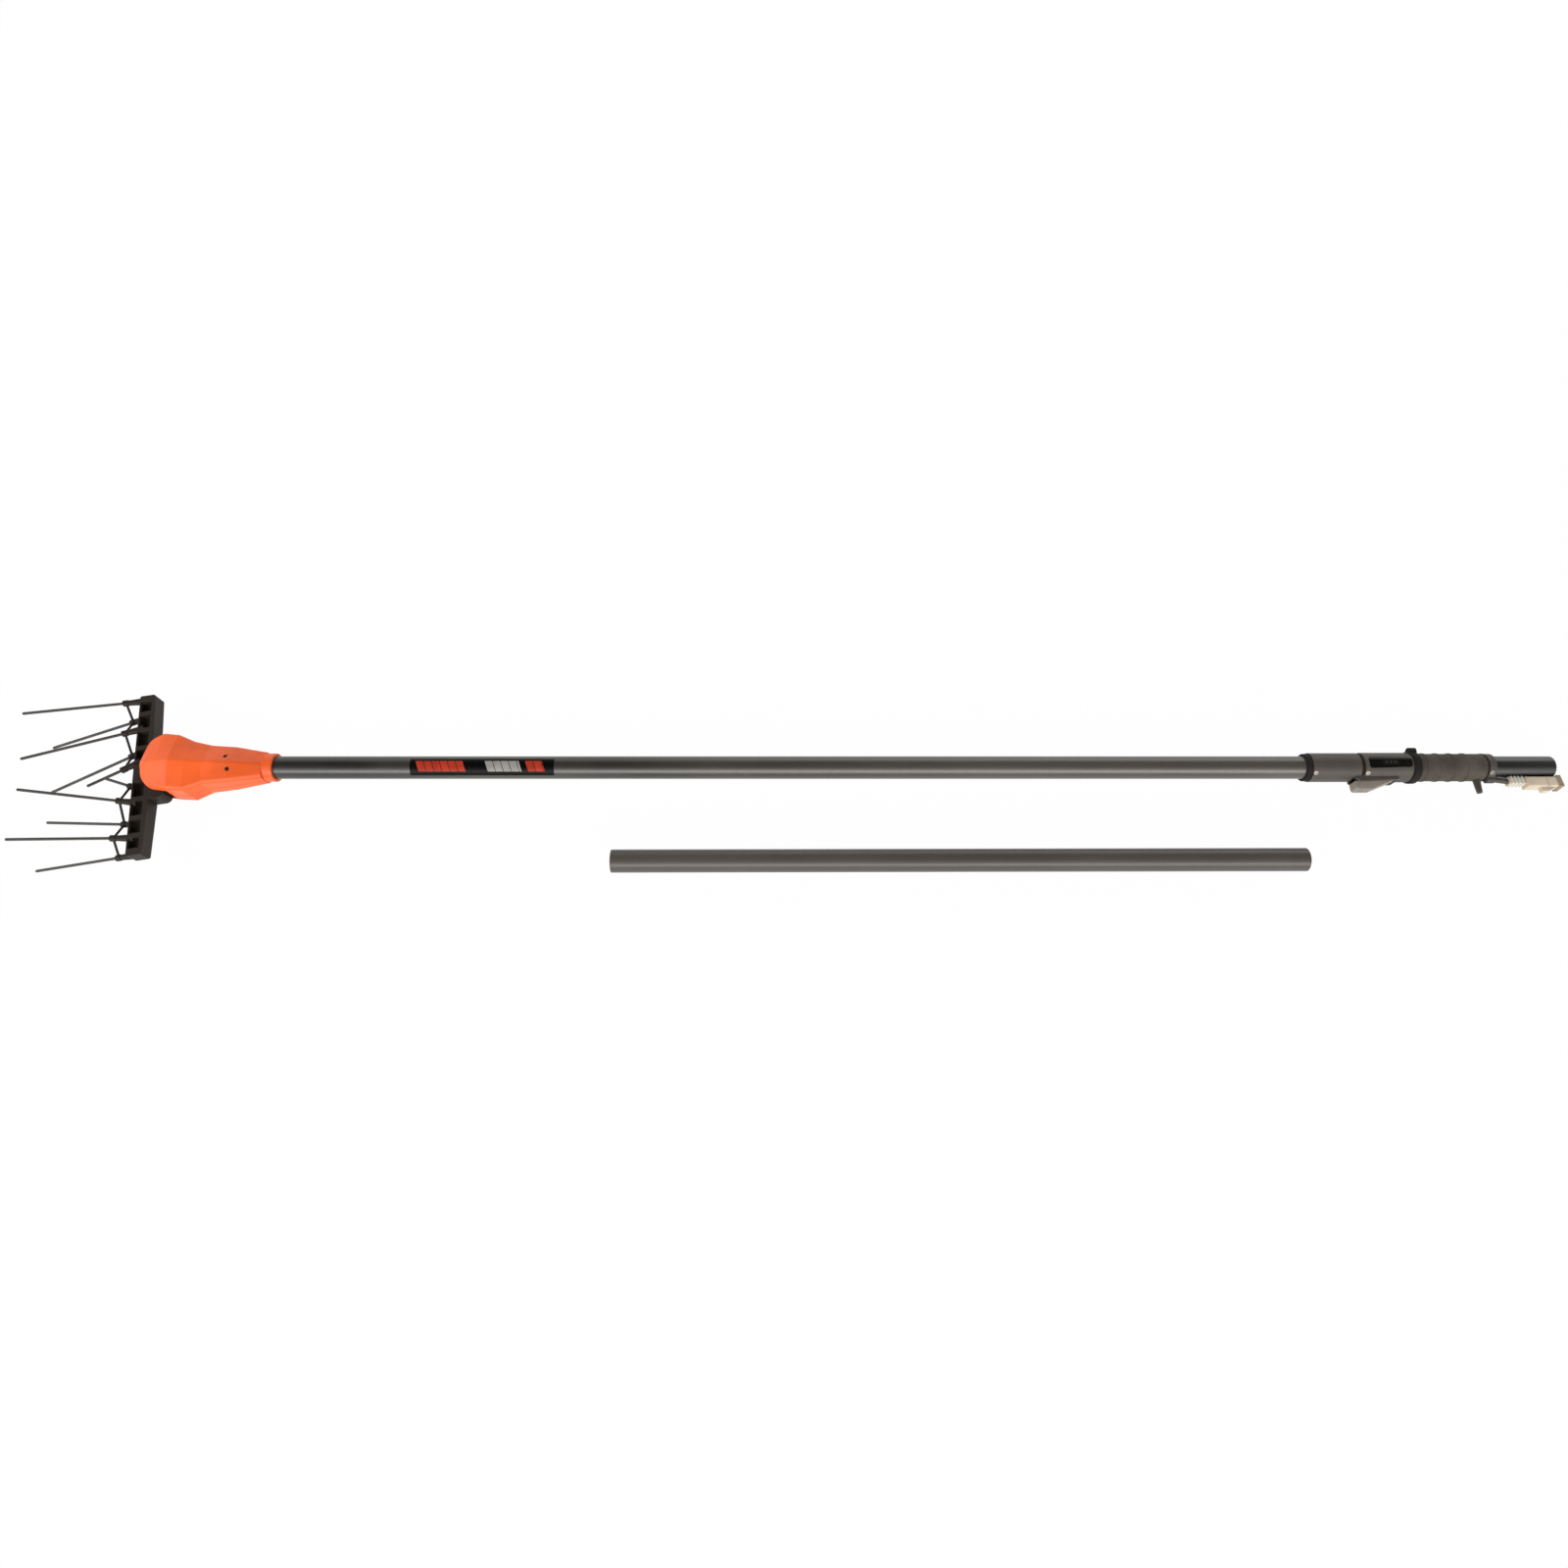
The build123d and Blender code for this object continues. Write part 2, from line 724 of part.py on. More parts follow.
def panel_outline(gap):
    """The panel's outline, lengthwise on X: broad in front, slimmer behind, with round corners."""
    half = panel_length / 2 - gap
    front, rear = panel_width / 2 - gap, panel_tail_width / 2 - gap
    outline = Polygon((-half, -front), (half, -rear), (half, rear), (-half, front), align=None)
    return fillet(outline.vertices(), panel_round - gap)


def panel_form(gap):
    """The panel as a curved plate on the switch housing."""
    middle = panel_middle()
    blank = Pos(middle, 0, 0) * extrude(panel_outline(gap), amount=2 * switch_r)
    floor = switch_r - panel_depth + gap / 2
    plate = tube_x(switch_r, floor, middle - panel_length, middle + panel_length)
    return blank & plate


def lens_places():
    """Where the status lenses stand along the panel."""
    return [panel_middle() + lens_pitch * (index - (lens_count - 1) / 2) for index in range(lens_count)]


def button_x():
    """The place of the mode button along the panel."""
    return x_switch - button_setback


def room_front():
    """The front wall of the trigger's slot, just clear of the toe when it swings."""
    hinge_x, hinge_y = hinge_place()
    return hinge_x - math.hypot(trigger_length, trigger_depth + hinge_y) - moving_gap


def skirt():
    """Walls beside the trigger, which run out towards the guard ring."""
    hinge_x, hinge_y = hinge_place()
    front = trigger_front() + skirt_setback
    rear = hinge_x + 2 * hinge_r
    low = -trigger_rim_depth - skirt_cover
    outline = [(trigger_front(), 0), (trigger_front(), -switch_r), (front, low), (rear, hinge_y - hinge_r),
               (rear, 0)]
    return side_profile(outline, trigger_half + moving_gap + skirt_wall)


def trigger_room():
    """The slot in which the trigger moves."""
    hinge_x, hinge_y = hinge_place()
    half = trigger_half + moving_gap
    return box_span(room_front(), hinge_x + hinge_r + 1.0, -2 * trigger_depth, -pole_r / 2, -half, half)


def grip_screw_sites():
    """Place along the pole and radius of each radial screw of the handle."""
    return [(x_front_ring + grip_screw_setback, front_grip_r), (x_front_grip + grip_screw_setback, switch_r)]


def radial(turn_deg, shape):
    """A shape drawn upright on the tool's top, turned round the pole towards the trigger."""
    return Rot(turn_deg, 0, 0) * shape


def grip_screw_turns():
    """The directions of the radial screws, one through each shell."""
    return [grip_screw_turn_deg, grip_screw_turn_deg + 180]


def screw_hole(x, radius):
    """The hole of a radial screw under the tool's top."""
    floor = radius - grip_screw_head_height
    hole = rod_z(grip_screw_head_r + seat_gap, floor, radius + 2 * grip_screw_head_r, x)
    return hole + rod_z(grip_screw_r + seat_gap, 0, floor + 1, x)


def radial_screw(x, radius, root):
    """A screw under the tool's top, from a root radius to its head just below the surface."""
    floor = radius - grip_screw_head_height
    screw = rod_z(grip_screw_head_r, floor, radius - grip_screw_sunk, x)
    screw += rod_z(grip_screw_r, root + fit, floor, x)
    return screw - rod_z(grip_screw_head_r / 2, radius - grip_screw_head_height * 0.6, radius + 1, x)


def handle_body():
    """Both handle shells in one piece, before they are parted."""
    body = rod_x(front_grip_r, x_front_ring, x_front_grip - seam_width)
    body += rod_x(front_grip_r - seam_depth, x_front_grip - seam_width, x_front_grip)
    body += rod_x(switch_r, x_front_grip, x_switch)
    rims = body.edges().filter_by(GeomType.CIRCLE).group_by(SortBy.RADIUS)[-1]
    body = fillet(rims, seam_depth / 2)
    body = (body + skirt()) - trigger_room()
    body -= rod_x(pole_r + fit, x_pole_free, x_guard)
    hinge_x, hinge_y = hinge_place()
    pin_half = trigger_half + moving_gap + skirt_wall - 1.0
    body -= rod_z(trigger_pin_r + seat_gap, -pin_half, pin_half, hinge_x, hinge_y)
    body -= panel_form(0.0)
    button_floor = switch_r - panel_depth - button_travel - button_gap
    body -= rod_z(button_r + button_gap, button_floor, 2 * switch_r, button_x())
    for turn in grip_screw_turns():
        for x, radius in grip_screw_sites():
            body -= radial(turn, screw_hole(x, radius))
    return body


def handle_shells():
    """The upper and the lower handle shell, parted on the middle plane."""
    body = handle_body()
    reach = 4 * trigger_depth
    upper = body & box_span(x_pole_free, 0, -reach, reach, 0, reach)
    lower = body & box_span(x_pole_free, 0, -reach, reach, -reach, 0)
    return upper, lower


def handle_screws():
    """Radial screws of the shells and of the end collar."""
    sites = grip_screw_sites() + [(x_end_collar - end_collar_length / 2, rear_grip_r)]
    screws = []
    for turn in grip_screw_turns():
        for x, radius in sites:
            screws.append(radial(turn, radial_screw(x, radius, pole_r)))
    return group(screws)


def front_ring():
    """Rubber ring that seals the handle's front on the pole."""
    ring = tube_x(pole_r + front_ring_wall, pole_r + fit, x_pole_free, x_front_ring)
    rim = ring.edges().filter_by(GeomType.CIRCLE).group_by(SortBy.RADIUS)[-1].sort_by(Axis.X)[0]
    return fillet(rim, front_ring_wall / 2)


def guard_ring():
    """Rounded ring with a lug, which keeps the hand from the switch housing; the handle lies on it."""
    ring = rod_x(guard_r, x_switch, x_guard)
    ring = fillet(ring.edges().filter_by(GeomType.CIRCLE), guard_wall / 2)
    lug = rod_x(guard_lug_r, x_switch + guard_lug_inset, x_guard - guard_lug_inset, y=guard_lug_reach)
    ring += Rot(guard_lug_turn_deg, 0, 0) * lug
    return ring - rod_x(pole_r + fit, x_switch - 1, x_guard + 1)


def rear_grip():
    """Rubber sleeve with raised ribs and a hole for the hook."""
    grip = rod_x(rear_grip_r, x_guard, x_rear_grip)
    for index in range(rib_count):
        x = x_guard + rib_pitch * (index + 0.5)
        grip += rod_x(rear_grip_r + rib_height, x - rib_width / 2, x + rib_width / 2)
    rims = grip.edges().filter_by(GeomType.CIRCLE).group_by(SortBy.RADIUS)[-1]
    grip = fillet(rims, rib_height / 2)
    grip -= rod_x(pole_r + fit, x_guard - 1, x_rear_grip + 1)
    return grip - hook_form(seat_gap)


def hook_form(gap):
    """The hook peg under the grip, standing on the pole."""
    cone = Cone(hook_root_r + gap, hook_tip_r + gap, hook_length, align=(Align.CENTER, Align.CENTER, Align.MIN))
    return along((x_rear_grip - hook_setback, -pole_r, 0), (0, -1, 0), cone)


def cable_hook():
    """Peg that takes the strain of the power lead, with a rounded tip."""
    peg = hook_form(0.0)
    peg = fillet(peg.edges().sort_by(Axis.Y)[0], hook_tip_r / 2)
    return peg - rod_x(pole_r + fit, x_guard, x_end_collar)


def end_collar():
    """Collar behind the grip, with the lug that the power lead leaves."""
    collar = rod_x(rear_grip_r, x_rear_grip + 0.6, x_end_collar)
    collar += connector_place * rod_x(lug_r, x_rear_grip + 0.6, x_end_collar, y=-rear_grip_r - lug_lift)
    collar -= rod_x(pole_r + fit, x_rear_grip - 1, x_end_collar + 1)
    middle = x_end_collar - end_collar_length / 2
    for turn in grip_screw_turns():
        collar -= radial(turn, screw_hole(middle, rear_grip_r))
    return collar


def control_panel():
    """Dark panel on the switch housing, with holes for the lenses and the button."""
    panel = panel_form(panel_gap)
    for x in lens_places():
        panel -= rod_z(lens_r + seat_gap, 0, 2 * switch_r, x)
    return panel - rod_z(button_r + button_gap, 0, 2 * switch_r, button_x())


def status_lenses():
    """Small lenses of the status lamps."""
    floor = switch_r - panel_depth
    lenses = []
    for x in lens_places():
        lens = rod_z(lens_r, floor, switch_r + lens_proud, x)
        lenses.append(fillet(lens.edges().sort_by(Axis.Z)[-1], lens_r / 4))
    return group(lenses)


def mode_button():
    """Round push button at the rear of the panel."""
    button = rod_z(button_r, switch_r - panel_depth, switch_r + button_proud, button_x())
    return fillet(button.edges().sort_by(Axis.Z)[-1], button_proud / 2)


def trigger():
    """Paddle trigger, a channel hinged at its rear end."""
    hinge_x, hinge_y = hinge_place()
    front = trigger_front()
    top = hinge_y + hinge_r - 1.2
    outline = [(hinge_x - hinge_r, top), (front, -trigger_rim_depth), (front, -trigger_depth),
               (front + trigger_flat, -trigger_depth), (hinge_x, hinge_y - hinge_r)]
    paddle = side_profile(outline, trigger_half)
    paddle += rod_z(hinge_r, -trigger_half, trigger_half, hinge_x, hinge_y)
    toe = paddle.edges().filter_by(Axis.Z).sort_by(lambda edge: edge.center().X + edge.center().Y)[0]
    paddle = fillet(toe, trigger_skin)
    skin = trigger_skin
    floor = -trigger_depth + skin
    inner = [(hinge_x + 2 * hinge_r, top + 9), (front + skin, -trigger_rim_depth + 12), (front + skin, floor),
             (front + trigger_flat - 1, floor), (hinge_x - 5.0, hinge_y - 1.5),
             (hinge_x + 2 * hinge_r, -trigger_depth)]
    paddle -= side_profile(inner, trigger_half - trigger_cheek)
    return paddle - rod_z(trigger_pin_r + fit, -trigger_half - 1, trigger_half + 1, hinge_x, hinge_y)


def trigger_pin():
    """Hinge pin of the trigger, seated in both shells."""
    half = trigger_half + moving_gap + skirt_wall - 1.2
    return rod_z(trigger_pin_r, -half, half, *hinge_place())


def trigger_spring():
    """Coil of the torsion spring round the hinge pin."""
    height = spring_pitch * spring_turns
    hinge_x, hinge_y = hinge_place()
    path = Helix(pitch=spring_pitch, height=height, radius=spring_coil_r)
    section = Plane(origin=path @ 0, z_dir=path % 0) * Circle(spring_wire_r)
    print("trigger spring, gap between turns:", round(spring_pitch - 2 * spring_wire_r, 2))
    return Pos(hinge_x, hinge_y, -height / 2) * sweep(section, path=path)


def microswitch():
    """Switch under the pole, with the plunger that the trigger presses."""
    length, height, width = microswitch_size
    rear = trigger_front() + trigger_flat + microswitch_setback
    top = -pole_r - seat_gap
    body = box_span(rear - length, rear, top - height, top, -width / 2, width / 2)
    stem = Pos(rear - length / 2, top - height - plunger_length / 2, 0) * Rot(90, 0, 0)
    return body + stem * Cylinder(plunger_r, plunger_length)


def tail_plug():
    """Bulkhead in the tail, which keeps dirt from the wires."""
    return rod_x(bore_r - seat_gap, -plug_depth - plug_width, -plug_depth)


# Connector, drawn under the tail and then turned a little round the pole

def block_middle():
    """The connector's distance from the pole's axis."""
    return -pole_r - block_gap - block_height / 2


def block_front():
    """Where the connector's block starts."""
    return x_end_collar + lead_length + sleeve_length


def lead_boot():
    """Stiff boot from the collar's lug to the connector."""
    start = Vector(x_end_collar, -rear_grip_r - lug_lift, 0)
    end = Vector(x_end_collar + lead_length, block_middle() + sleeve_lift, 0)
    overlap = (end - start) * 0.3
    rod = bar_between(start - overlap, end + overlap, lead_r)
    ends = box_span(start.X, end.X, -90, 90, -90, 90)
    return connector_place * (rod & ends)


def connector_block():
    """Cream housing of the connector: cable sleeve, block, latch and contact pockets."""
    middle, front = block_middle(), block_front()
    rear = front + block_length
    half, wide = block_height / 2, block_width / 2
    sleeve = fillet(Box(sleeve_length, sleeve_size, sleeve_size).edges().filter_by(Axis.X), sleeve_size / 5)
    sleeve = Pos(front - sleeve_length / 2, middle + sleeve_lift, 0) * sleeve
    block = box_span(front, rear, middle - half, middle + half, -wide, wide)
    block = fillet(block.edges().filter_by(Axis.X), block_height / 9)
    start, side = front + latch_setback, middle - half
    tip = side - latch_height
    latch = side_profile([(start, side), (start, tip), (start + latch_length / 3, tip),
                          (start + latch_length, side)], latch_width / 2)
    body = sleeve + block + latch
    deep, tall, long = contact_pocket
    for side in (-1, 1):
        body -= box_span(rear - long, rear + 1, middle - tall / 2, middle + tall / 2,
                         side * wide / 2 - deep / 2, side * wide / 2 + deep / 2)
    return connector_place * (body - seal_form(0.0))


def seal_form(proud):
    """The rebate for the seal round the connector's mouth, or the seal standing out of it."""
    middle, rear = block_middle(), block_front() + block_length
    half, wide = block_height / 2 + proud, block_width / 2 + proud
    core_half, core_wide = block_height / 2 - seal_inset, block_width / 2 - seal_inset
    x0, x1 = rear - seal_width, rear
    outer = box_span(x0, x1, middle - half, middle + half, -wide, wide)
    return outer - box_span(x0 - 1, x1 + 1, middle - core_half, middle + core_half, -core_wide, core_wide)


def connector_seal():
    """Dark seal round the connector's mouth."""
    return connector_place * seal_form(seal_proud)


def connector_contacts():
    """Brass blades, one in each pocket."""
    middle, rear = block_middle(), block_front() + block_length
    blades = []
    for side in (-1, 1):
        z = side * block_width / 4
        blade = box_span(rear - contact_pocket[2], rear - 2.0, middle - contact_height / 2,
                         middle + contact_height / 2, z - contact_width / 2, z + contact_width / 2)
        blades.append(connector_place * blade)
    return group(blades)


# Extension tube, which lies level on the ground

def on_ground(shape):
    """A shape drawn on the X axis, put where the extension tube lies."""
    return Pos(0, -extension_offset, ground_z + pole_r) * shape


def extension_tube():
    """Plain tube of the pole's own section, with the same reamed socket in both ends."""
    front = extension_rear - extension_length
    tube = tube_x(pole_r, bore_r, front, extension_rear)
    tube -= rod_x(socket_r, extension_rear - plug_depth, extension_rear + 1.0)
    return on_ground(tube - rod_x(socket_r, front - 1.0, front + ferrule_length + 2.0))


def joint_ferrule():
    """Sleeve that slides out of the tube's front end to join it to the tail."""
    front = extension_rear - extension_length + 1.0
    return on_ground(tube_x(socket_r - fit, socket_r - fit - ferrule_wall, front, front + ferrule_length))


def all_parts():
    """Every piece of the part by its node name, in its place."""
    upper_cover, lower_cover = head_covers()
    upper_shell, lower_shell = handle_shells()
    tool = {
        "head_cover_upper": upper_cover, "head_cover_lower": lower_cover, "head_screws": head_screws(),
        "neck_collar": neck_collar(), "pivot_pin": pivot_pin(), "thrust_washers": thrust_washers(),
        "ring_gear": ring_gear(), "gearbox_cover": gearbox_cover(), "output_bush": output_bush(),
        "motor_plate": motor_plate(), "motor_can": motor_can(), "motor_cap": motor_cap(),
        "motor_shaft": motor_shaft(), "sun_pinion": sun_pinion(), "crank_shaft": crank_shaft(),
        "drive_roller": drive_roller(), "inner_cable": inner_cable(), "pole_tube": pole_tube(),
        "comb_hub": comb_hub(), "arm_bolts": arm_bolts(), "pivot_bush": pivot_bush(),
        "handle_shell_upper": upper_shell, "handle_shell_lower": lower_shell,
        "handle_screws": handle_screws(), "front_ring": front_ring(), "guard_ring": guard_ring(),
        "rear_grip": rear_grip(), "cable_hook": cable_hook(), "end_collar": end_collar(),
        "control_panel": control_panel(), "status_lenses": status_lenses(), "mode_button": mode_button(),
        "trigger": trigger(), "trigger_pin": trigger_pin(), "trigger_spring": trigger_spring(),
        "microswitch": microswitch(), "tail_plug": tail_plug(), "lead_boot": lead_boot(),
        "connector_block": connector_block(), "connector_seal": connector_seal(),
        "connector_contacts": connector_contacts(),
    }
    for index, turn in enumerate(planet_turns()):
        tool[f"planet_gear_{index + 1}"] = planet_gear(turn)
    for name, side in (("upper", 1), ("lower", -1)):
        tool[f"comb_arm_{name}"] = comb_arm(side)
        tool[f"tine_brace_{name}"] = tine_brace(side)
        for index in range(len(tine_places)):
            tool[f"tine_{name}_{index + 1}"] = tine(index, side)
    placed = {name: lie * shape for name, shape in tool.items()}
    placed["extension_tube"] = extension_tube()
    placed["joint_ferrule"] = joint_ferrule()
    return placed


def main():
    """Writes one file for each piece."""
    os.makedirs("parts", exist_ok=True)
    for name, shape in all_parts().items():
        export_step(shape, f"parts/{name}.step")


main()
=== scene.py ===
import json
import logging
import math
from dataclasses import dataclass
from enum import Enum
from typing import Callable, Iterable, Sequence

import bpy
from mathutils import Matrix, Vector

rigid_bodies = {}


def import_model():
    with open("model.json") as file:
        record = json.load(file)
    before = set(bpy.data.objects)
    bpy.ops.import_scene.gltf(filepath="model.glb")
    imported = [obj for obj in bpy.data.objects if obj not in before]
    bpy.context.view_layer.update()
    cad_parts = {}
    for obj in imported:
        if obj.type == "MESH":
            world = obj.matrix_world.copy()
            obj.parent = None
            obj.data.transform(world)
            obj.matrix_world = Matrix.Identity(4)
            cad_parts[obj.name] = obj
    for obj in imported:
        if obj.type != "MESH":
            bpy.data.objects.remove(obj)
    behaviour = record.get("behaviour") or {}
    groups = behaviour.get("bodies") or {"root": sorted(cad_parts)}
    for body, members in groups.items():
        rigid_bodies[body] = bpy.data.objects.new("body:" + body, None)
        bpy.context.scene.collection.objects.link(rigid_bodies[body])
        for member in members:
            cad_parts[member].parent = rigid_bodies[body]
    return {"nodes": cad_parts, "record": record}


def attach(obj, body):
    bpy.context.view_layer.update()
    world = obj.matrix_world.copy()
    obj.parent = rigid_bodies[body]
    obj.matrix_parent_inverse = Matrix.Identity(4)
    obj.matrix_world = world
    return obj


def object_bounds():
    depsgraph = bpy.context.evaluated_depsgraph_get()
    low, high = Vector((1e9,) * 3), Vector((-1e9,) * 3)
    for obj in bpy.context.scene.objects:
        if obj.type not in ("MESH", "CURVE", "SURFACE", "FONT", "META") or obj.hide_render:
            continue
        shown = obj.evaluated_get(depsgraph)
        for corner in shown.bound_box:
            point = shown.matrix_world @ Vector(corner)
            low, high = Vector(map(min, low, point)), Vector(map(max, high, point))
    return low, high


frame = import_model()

LOG = logging.getLogger("olive_harvester")
MM = 0.001
Colour = tuple[float, float, float]
CAD_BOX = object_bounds()
SMOOTH_UNDER = math.radians(35)
WELD_UNDER = 1e-6
RIM_SHARE = 0.4
RIM_STEPS = 3
BEAD_STEPS = 2
BAND_STEPS = 128
MIRROR_RAYS = ("Is Transmission Ray", "Is Glossy Ray")


def linear(hex_code: str) -> Colour:
    """Turns a screen colour into scene light.

    Args:
        hex_code: Six hexadecimal digits, as on a colour card.

    Returns:
        The colour's three linear channels.
    """
    channels = [int(hex_code[index:index + 2], 16) / 255 for index in (0, 2, 4)]
    return tuple(c / 12.92 if c <= 0.04045 else ((c + 0.055) / 1.055) ** 2.4 for c in channels)


class Tap:
    """One output of a shader node, with operators that add Math nodes."""

    def __init__(self, graph: "Graph", socket: bpy.types.NodeSocket) -> None:
        """Keeps the graph and the socket."""
        self.graph = graph
        self.socket = socket

    def _math(self, operation: str, first: "Value", second: "Value") -> "Tap":
        """Adds one Math node for two values."""
        return self.graph.node("ShaderNodeMath", {"operation": operation}, {0: first, 1: second})

    def __add__(self, other: "Value") -> "Tap":
        """Adds a value."""
        return self._math("ADD", self, other)

    __radd__ = __add__

    def __mul__(self, other: "Value") -> "Tap":
        """Multiplies by a value."""
        return self._math("MULTIPLY", self, other)

    def __sub__(self, other: "Value") -> "Tap":
        """Takes a value away."""
        return self._math("SUBTRACT", self, other)

    def __rsub__(self, other: "Value") -> "Tap":
        """Is taken away from a value."""
        return self._math("SUBTRACT", other, self)

    def __gt__(self, other: "Value") -> "Tap":
        """Is 1 where it is more than a value."""
        return self._math("GREATER_THAN", self, other)

    def __lt__(self, other: "Value") -> "Tap":
        """Is 1 where it is less than a value."""
        return self._math("LESS_THAN", self, other)

    def band(self, low: float, high: float) -> "Tap":
        """Fades from 0 at low to 1 at high."""
        settings = {"interpolation_type": "SMOOTHSTEP"}
        inputs = {"Value": self, "From Min": low, "From Max": high}
        return self.graph.node("ShaderNodeMapRange", settings, inputs)


Value = Tap | float


class Graph:
    """The node tree of one material."""

    def __init__(self, name: str) -> None:
        """Makes a material with an empty tree."""
        self.material = bpy.data.materials.new(name)
        self.material.use_nodes = True
        self.tree = self.material.node_tree
        self.tree.nodes.clear()
        self._object: Tap | None = None

    def node(self, kind: str, settings: dict | None = None, inputs: dict | None = None,
             output: int | str = 0) -> Tap:
        """Adds a node.

        Args:
            kind: The node's type.
            settings: Its properties, set before its sockets.
            inputs: Values or links by socket name or number.
            output: The output that is wanted.

        Returns:
            That output.
        """
        node = self.tree.nodes.new(kind)
        for key, value in (settings or {}).items():
            setattr(node, key, value)
        for key, value in (inputs or {}).items():
            if isinstance(value, Tap):
                self.tree.links.new(value.socket, node.inputs[key])
            else:
                node.inputs[key].default_value = value
        return Tap(self, node.outputs[output])

    def place(self, stretch: Sequence[float] = (1, 1, 1)) -> Tap:
        """The point on the object in metres, stretched for a pattern."""
        if self._object is None:
            self._object = self.node("ShaderNodeTexCoord", output="Object")
        return self.node("ShaderNodeMapping", inputs={"Vector": self._object, "Scale": stretch})

    def axis(self, letter: str) -> Tap:
        """One coordinate of the point on the object, in metres."""
        return self.node("ShaderNodeSeparateXYZ", inputs={0: self.place()}, output=letter)

    def noise(self, scale: float, detail: float = 4.0, rough: float = 0.55,
              stretch: Sequence[float] = (1, 1, 1)) -> Tap:
        """Cloudy noise of about 1/scale metres."""
        inputs = {"Vector": self.place(stretch), "Scale": scale, "Detail": detail, "Roughness": rough}
        return self.node("ShaderNodeTexNoise", inputs=inputs)

    def cells(self, scale: float) -> Tap:
        """The distance to the nearest of many scattered points."""
        return self.node("ShaderNodeTexVoronoi", inputs={"Vector": self.place(), "Scale": scale})

    def mix(self, share: Value, first: "Tap | Colour", second: "Tap | Colour") -> Tap:
        """Blends two colours."""
        def full(colour: "Tap | Colour") -> "Tap | tuple":
            """A colour with its alpha."""
            return colour if isinstance(colour, Tap) else (*colour, 1)
        settings = {"data_type": "RGBA"}
        return self.node("ShaderNodeMix", settings, {0: share, 6: full(first), 7: full(second)}, 2)

    def rounded(self, radius: float) -> Tap:
        """The normal of the surface as if its edges were rounded."""
        return self.node("ShaderNodeBevel", {"samples": 6}, {"Radius": radius})

    def edges(self, soft: Tap) -> Tap:
        """Is over 0 where a rounded normal leaves the surface's own, which is along its edges."""
        sharp = self.node("ShaderNodeNewGeometry", output="Normal")
        settings = {"operation": "DOT_PRODUCT"}
        along = self.node("ShaderNodeVectorMath", settings, {0: soft, 1: sharp}, "Value")
        return (1 - along).band(0.01, 0.12)

    def bump(self, height: Tap, depth: float, strength: float = 1.0, under: Tap | None = None) -> Tap:
        """Turns a height into a normal, over another one if it is given."""
        inputs: dict = {"Height": height, "Distance": depth, "Strength": strength}
        if under is not None:
            inputs["Normal"] = under
        return self.node("ShaderNodeBump", inputs=inputs)

    def close(self, inputs: dict) -> bpy.types.Material:
        """Ends the tree in a Principled shader.

        Args:
            inputs: Values or links by socket name.

        Returns:
            The finished material.
        """
        self.end(self.node("ShaderNodeBsdfPrincipled", inputs=inputs, output="BSDF"))
        return self.material

    def end(self, shader: Tap) -> None:
        """Links a shader to the material's output."""
        end = self.tree.nodes.new("ShaderNodeOutputMaterial")
        self.tree.links.new(shader.socket, end.inputs["Surface"])


@dataclass(frozen=True)
class Moulded:
    """Moulded plastic with a spark-eroded grain and pale rubbed edges."""

    name: str
    colour: Colour
    worn: Colour
    roughness: float = 0.45
    grain: float = 1600.0
    depth: float = 0.00006
    dust: float = 0.12
    edge: float = 0.0007
    gloss: float = 0.2

    def material(self) -> bpy.types.Material:
        """Builds the finish."""
        g = Graph(self.name)
        clouds = g.noise(14.0, 5.0)
        fine = g.noise(self.grain, 3.0)
        specks = g.cells(900.0).band(0.16, 0.05)
        shade = tuple(c * 0.78 for c in self.colour)
        tint = g.mix(clouds.band(0.3, 0.72), shade, self.colour)
        soft = g.rounded(self.edge)
        rub = g.edges(soft) * g.noise(220.0, 5.0).band(0.42, 0.62)
        tint = g.mix(rub * 0.55, tint, self.worn)
        tint = g.mix(specks * self.dust * clouds, tint, self.worn)
        rough = self.roughness + (clouds - 0.5) * 0.16 + (fine - 0.5) * 0.12 + rub * 0.08
        normal = g.bump(fine, self.depth, 0.6, soft)
        return g.close({"Base Color": tint, "Roughness": rough, "Normal": normal,
                        "Specular IOR Level": self.gloss})


@dataclass(frozen=True)
class CoatedTube:
    """Coated tube with draw lines, dust and scratches, paler towards the handle end, with a dipped tail.
    """

    name: str
    colour: Colour
    handle_end_colour: Colour
    tail: Colour
    gloss: float = 0.7
    tail_start: float = -0.085
    paling_span: tuple[float, float] = (-1.75, -0.45)
    roughness: float = 0.3

    def material(self) -> bpy.types.Material:
        """Builds the finish."""
        g = Graph(self.name)
        lines = g.noise(420.0, 4.0, 0.6, (0.012, 1, 1))
        clouds = g.noise(9.0, 5.0, 0.6, (0.35, 1, 1))
        scratch = g.noise(900.0, 3.0, 0.7, (0.02, 1, 1)).band(0.66, 0.74)
        dust = g.cells(650.0).band(0.12, 0.03) * clouds
        pale = tuple(c * 1.5 + 0.01 for c in self.handle_end_colour)
        # The base colour pales along the pole towards the handle end over this span.
        base = g.mix(g.axis("X").band(*self.paling_span), self.colour, self.handle_end_colour)
        tint = g.mix(clouds.band(0.35, 0.75) * 0.35, base, pale)
        tint = g.mix(g.axis("X") > self.tail_start, tint, self.tail)
        tint = g.mix(scratch * 0.1 + dust * 0.2, tint, linear("7d766e"))
        rub = g.edges(g.rounded(0.0006))
        tint = g.mix(rub * 0.4, tint, linear("8a857d"))
        rough = self.roughness + (clouds - 0.5) * 0.12 + lines * 0.06 + scratch * 0.1 + dust * 0.2
        normal = g.bump(lines, 0.00003, 0.35)
        return g.close({"Base Color": tint, "Roughness": rough, "Normal": normal,
                        "Specular IOR Level": self.gloss})


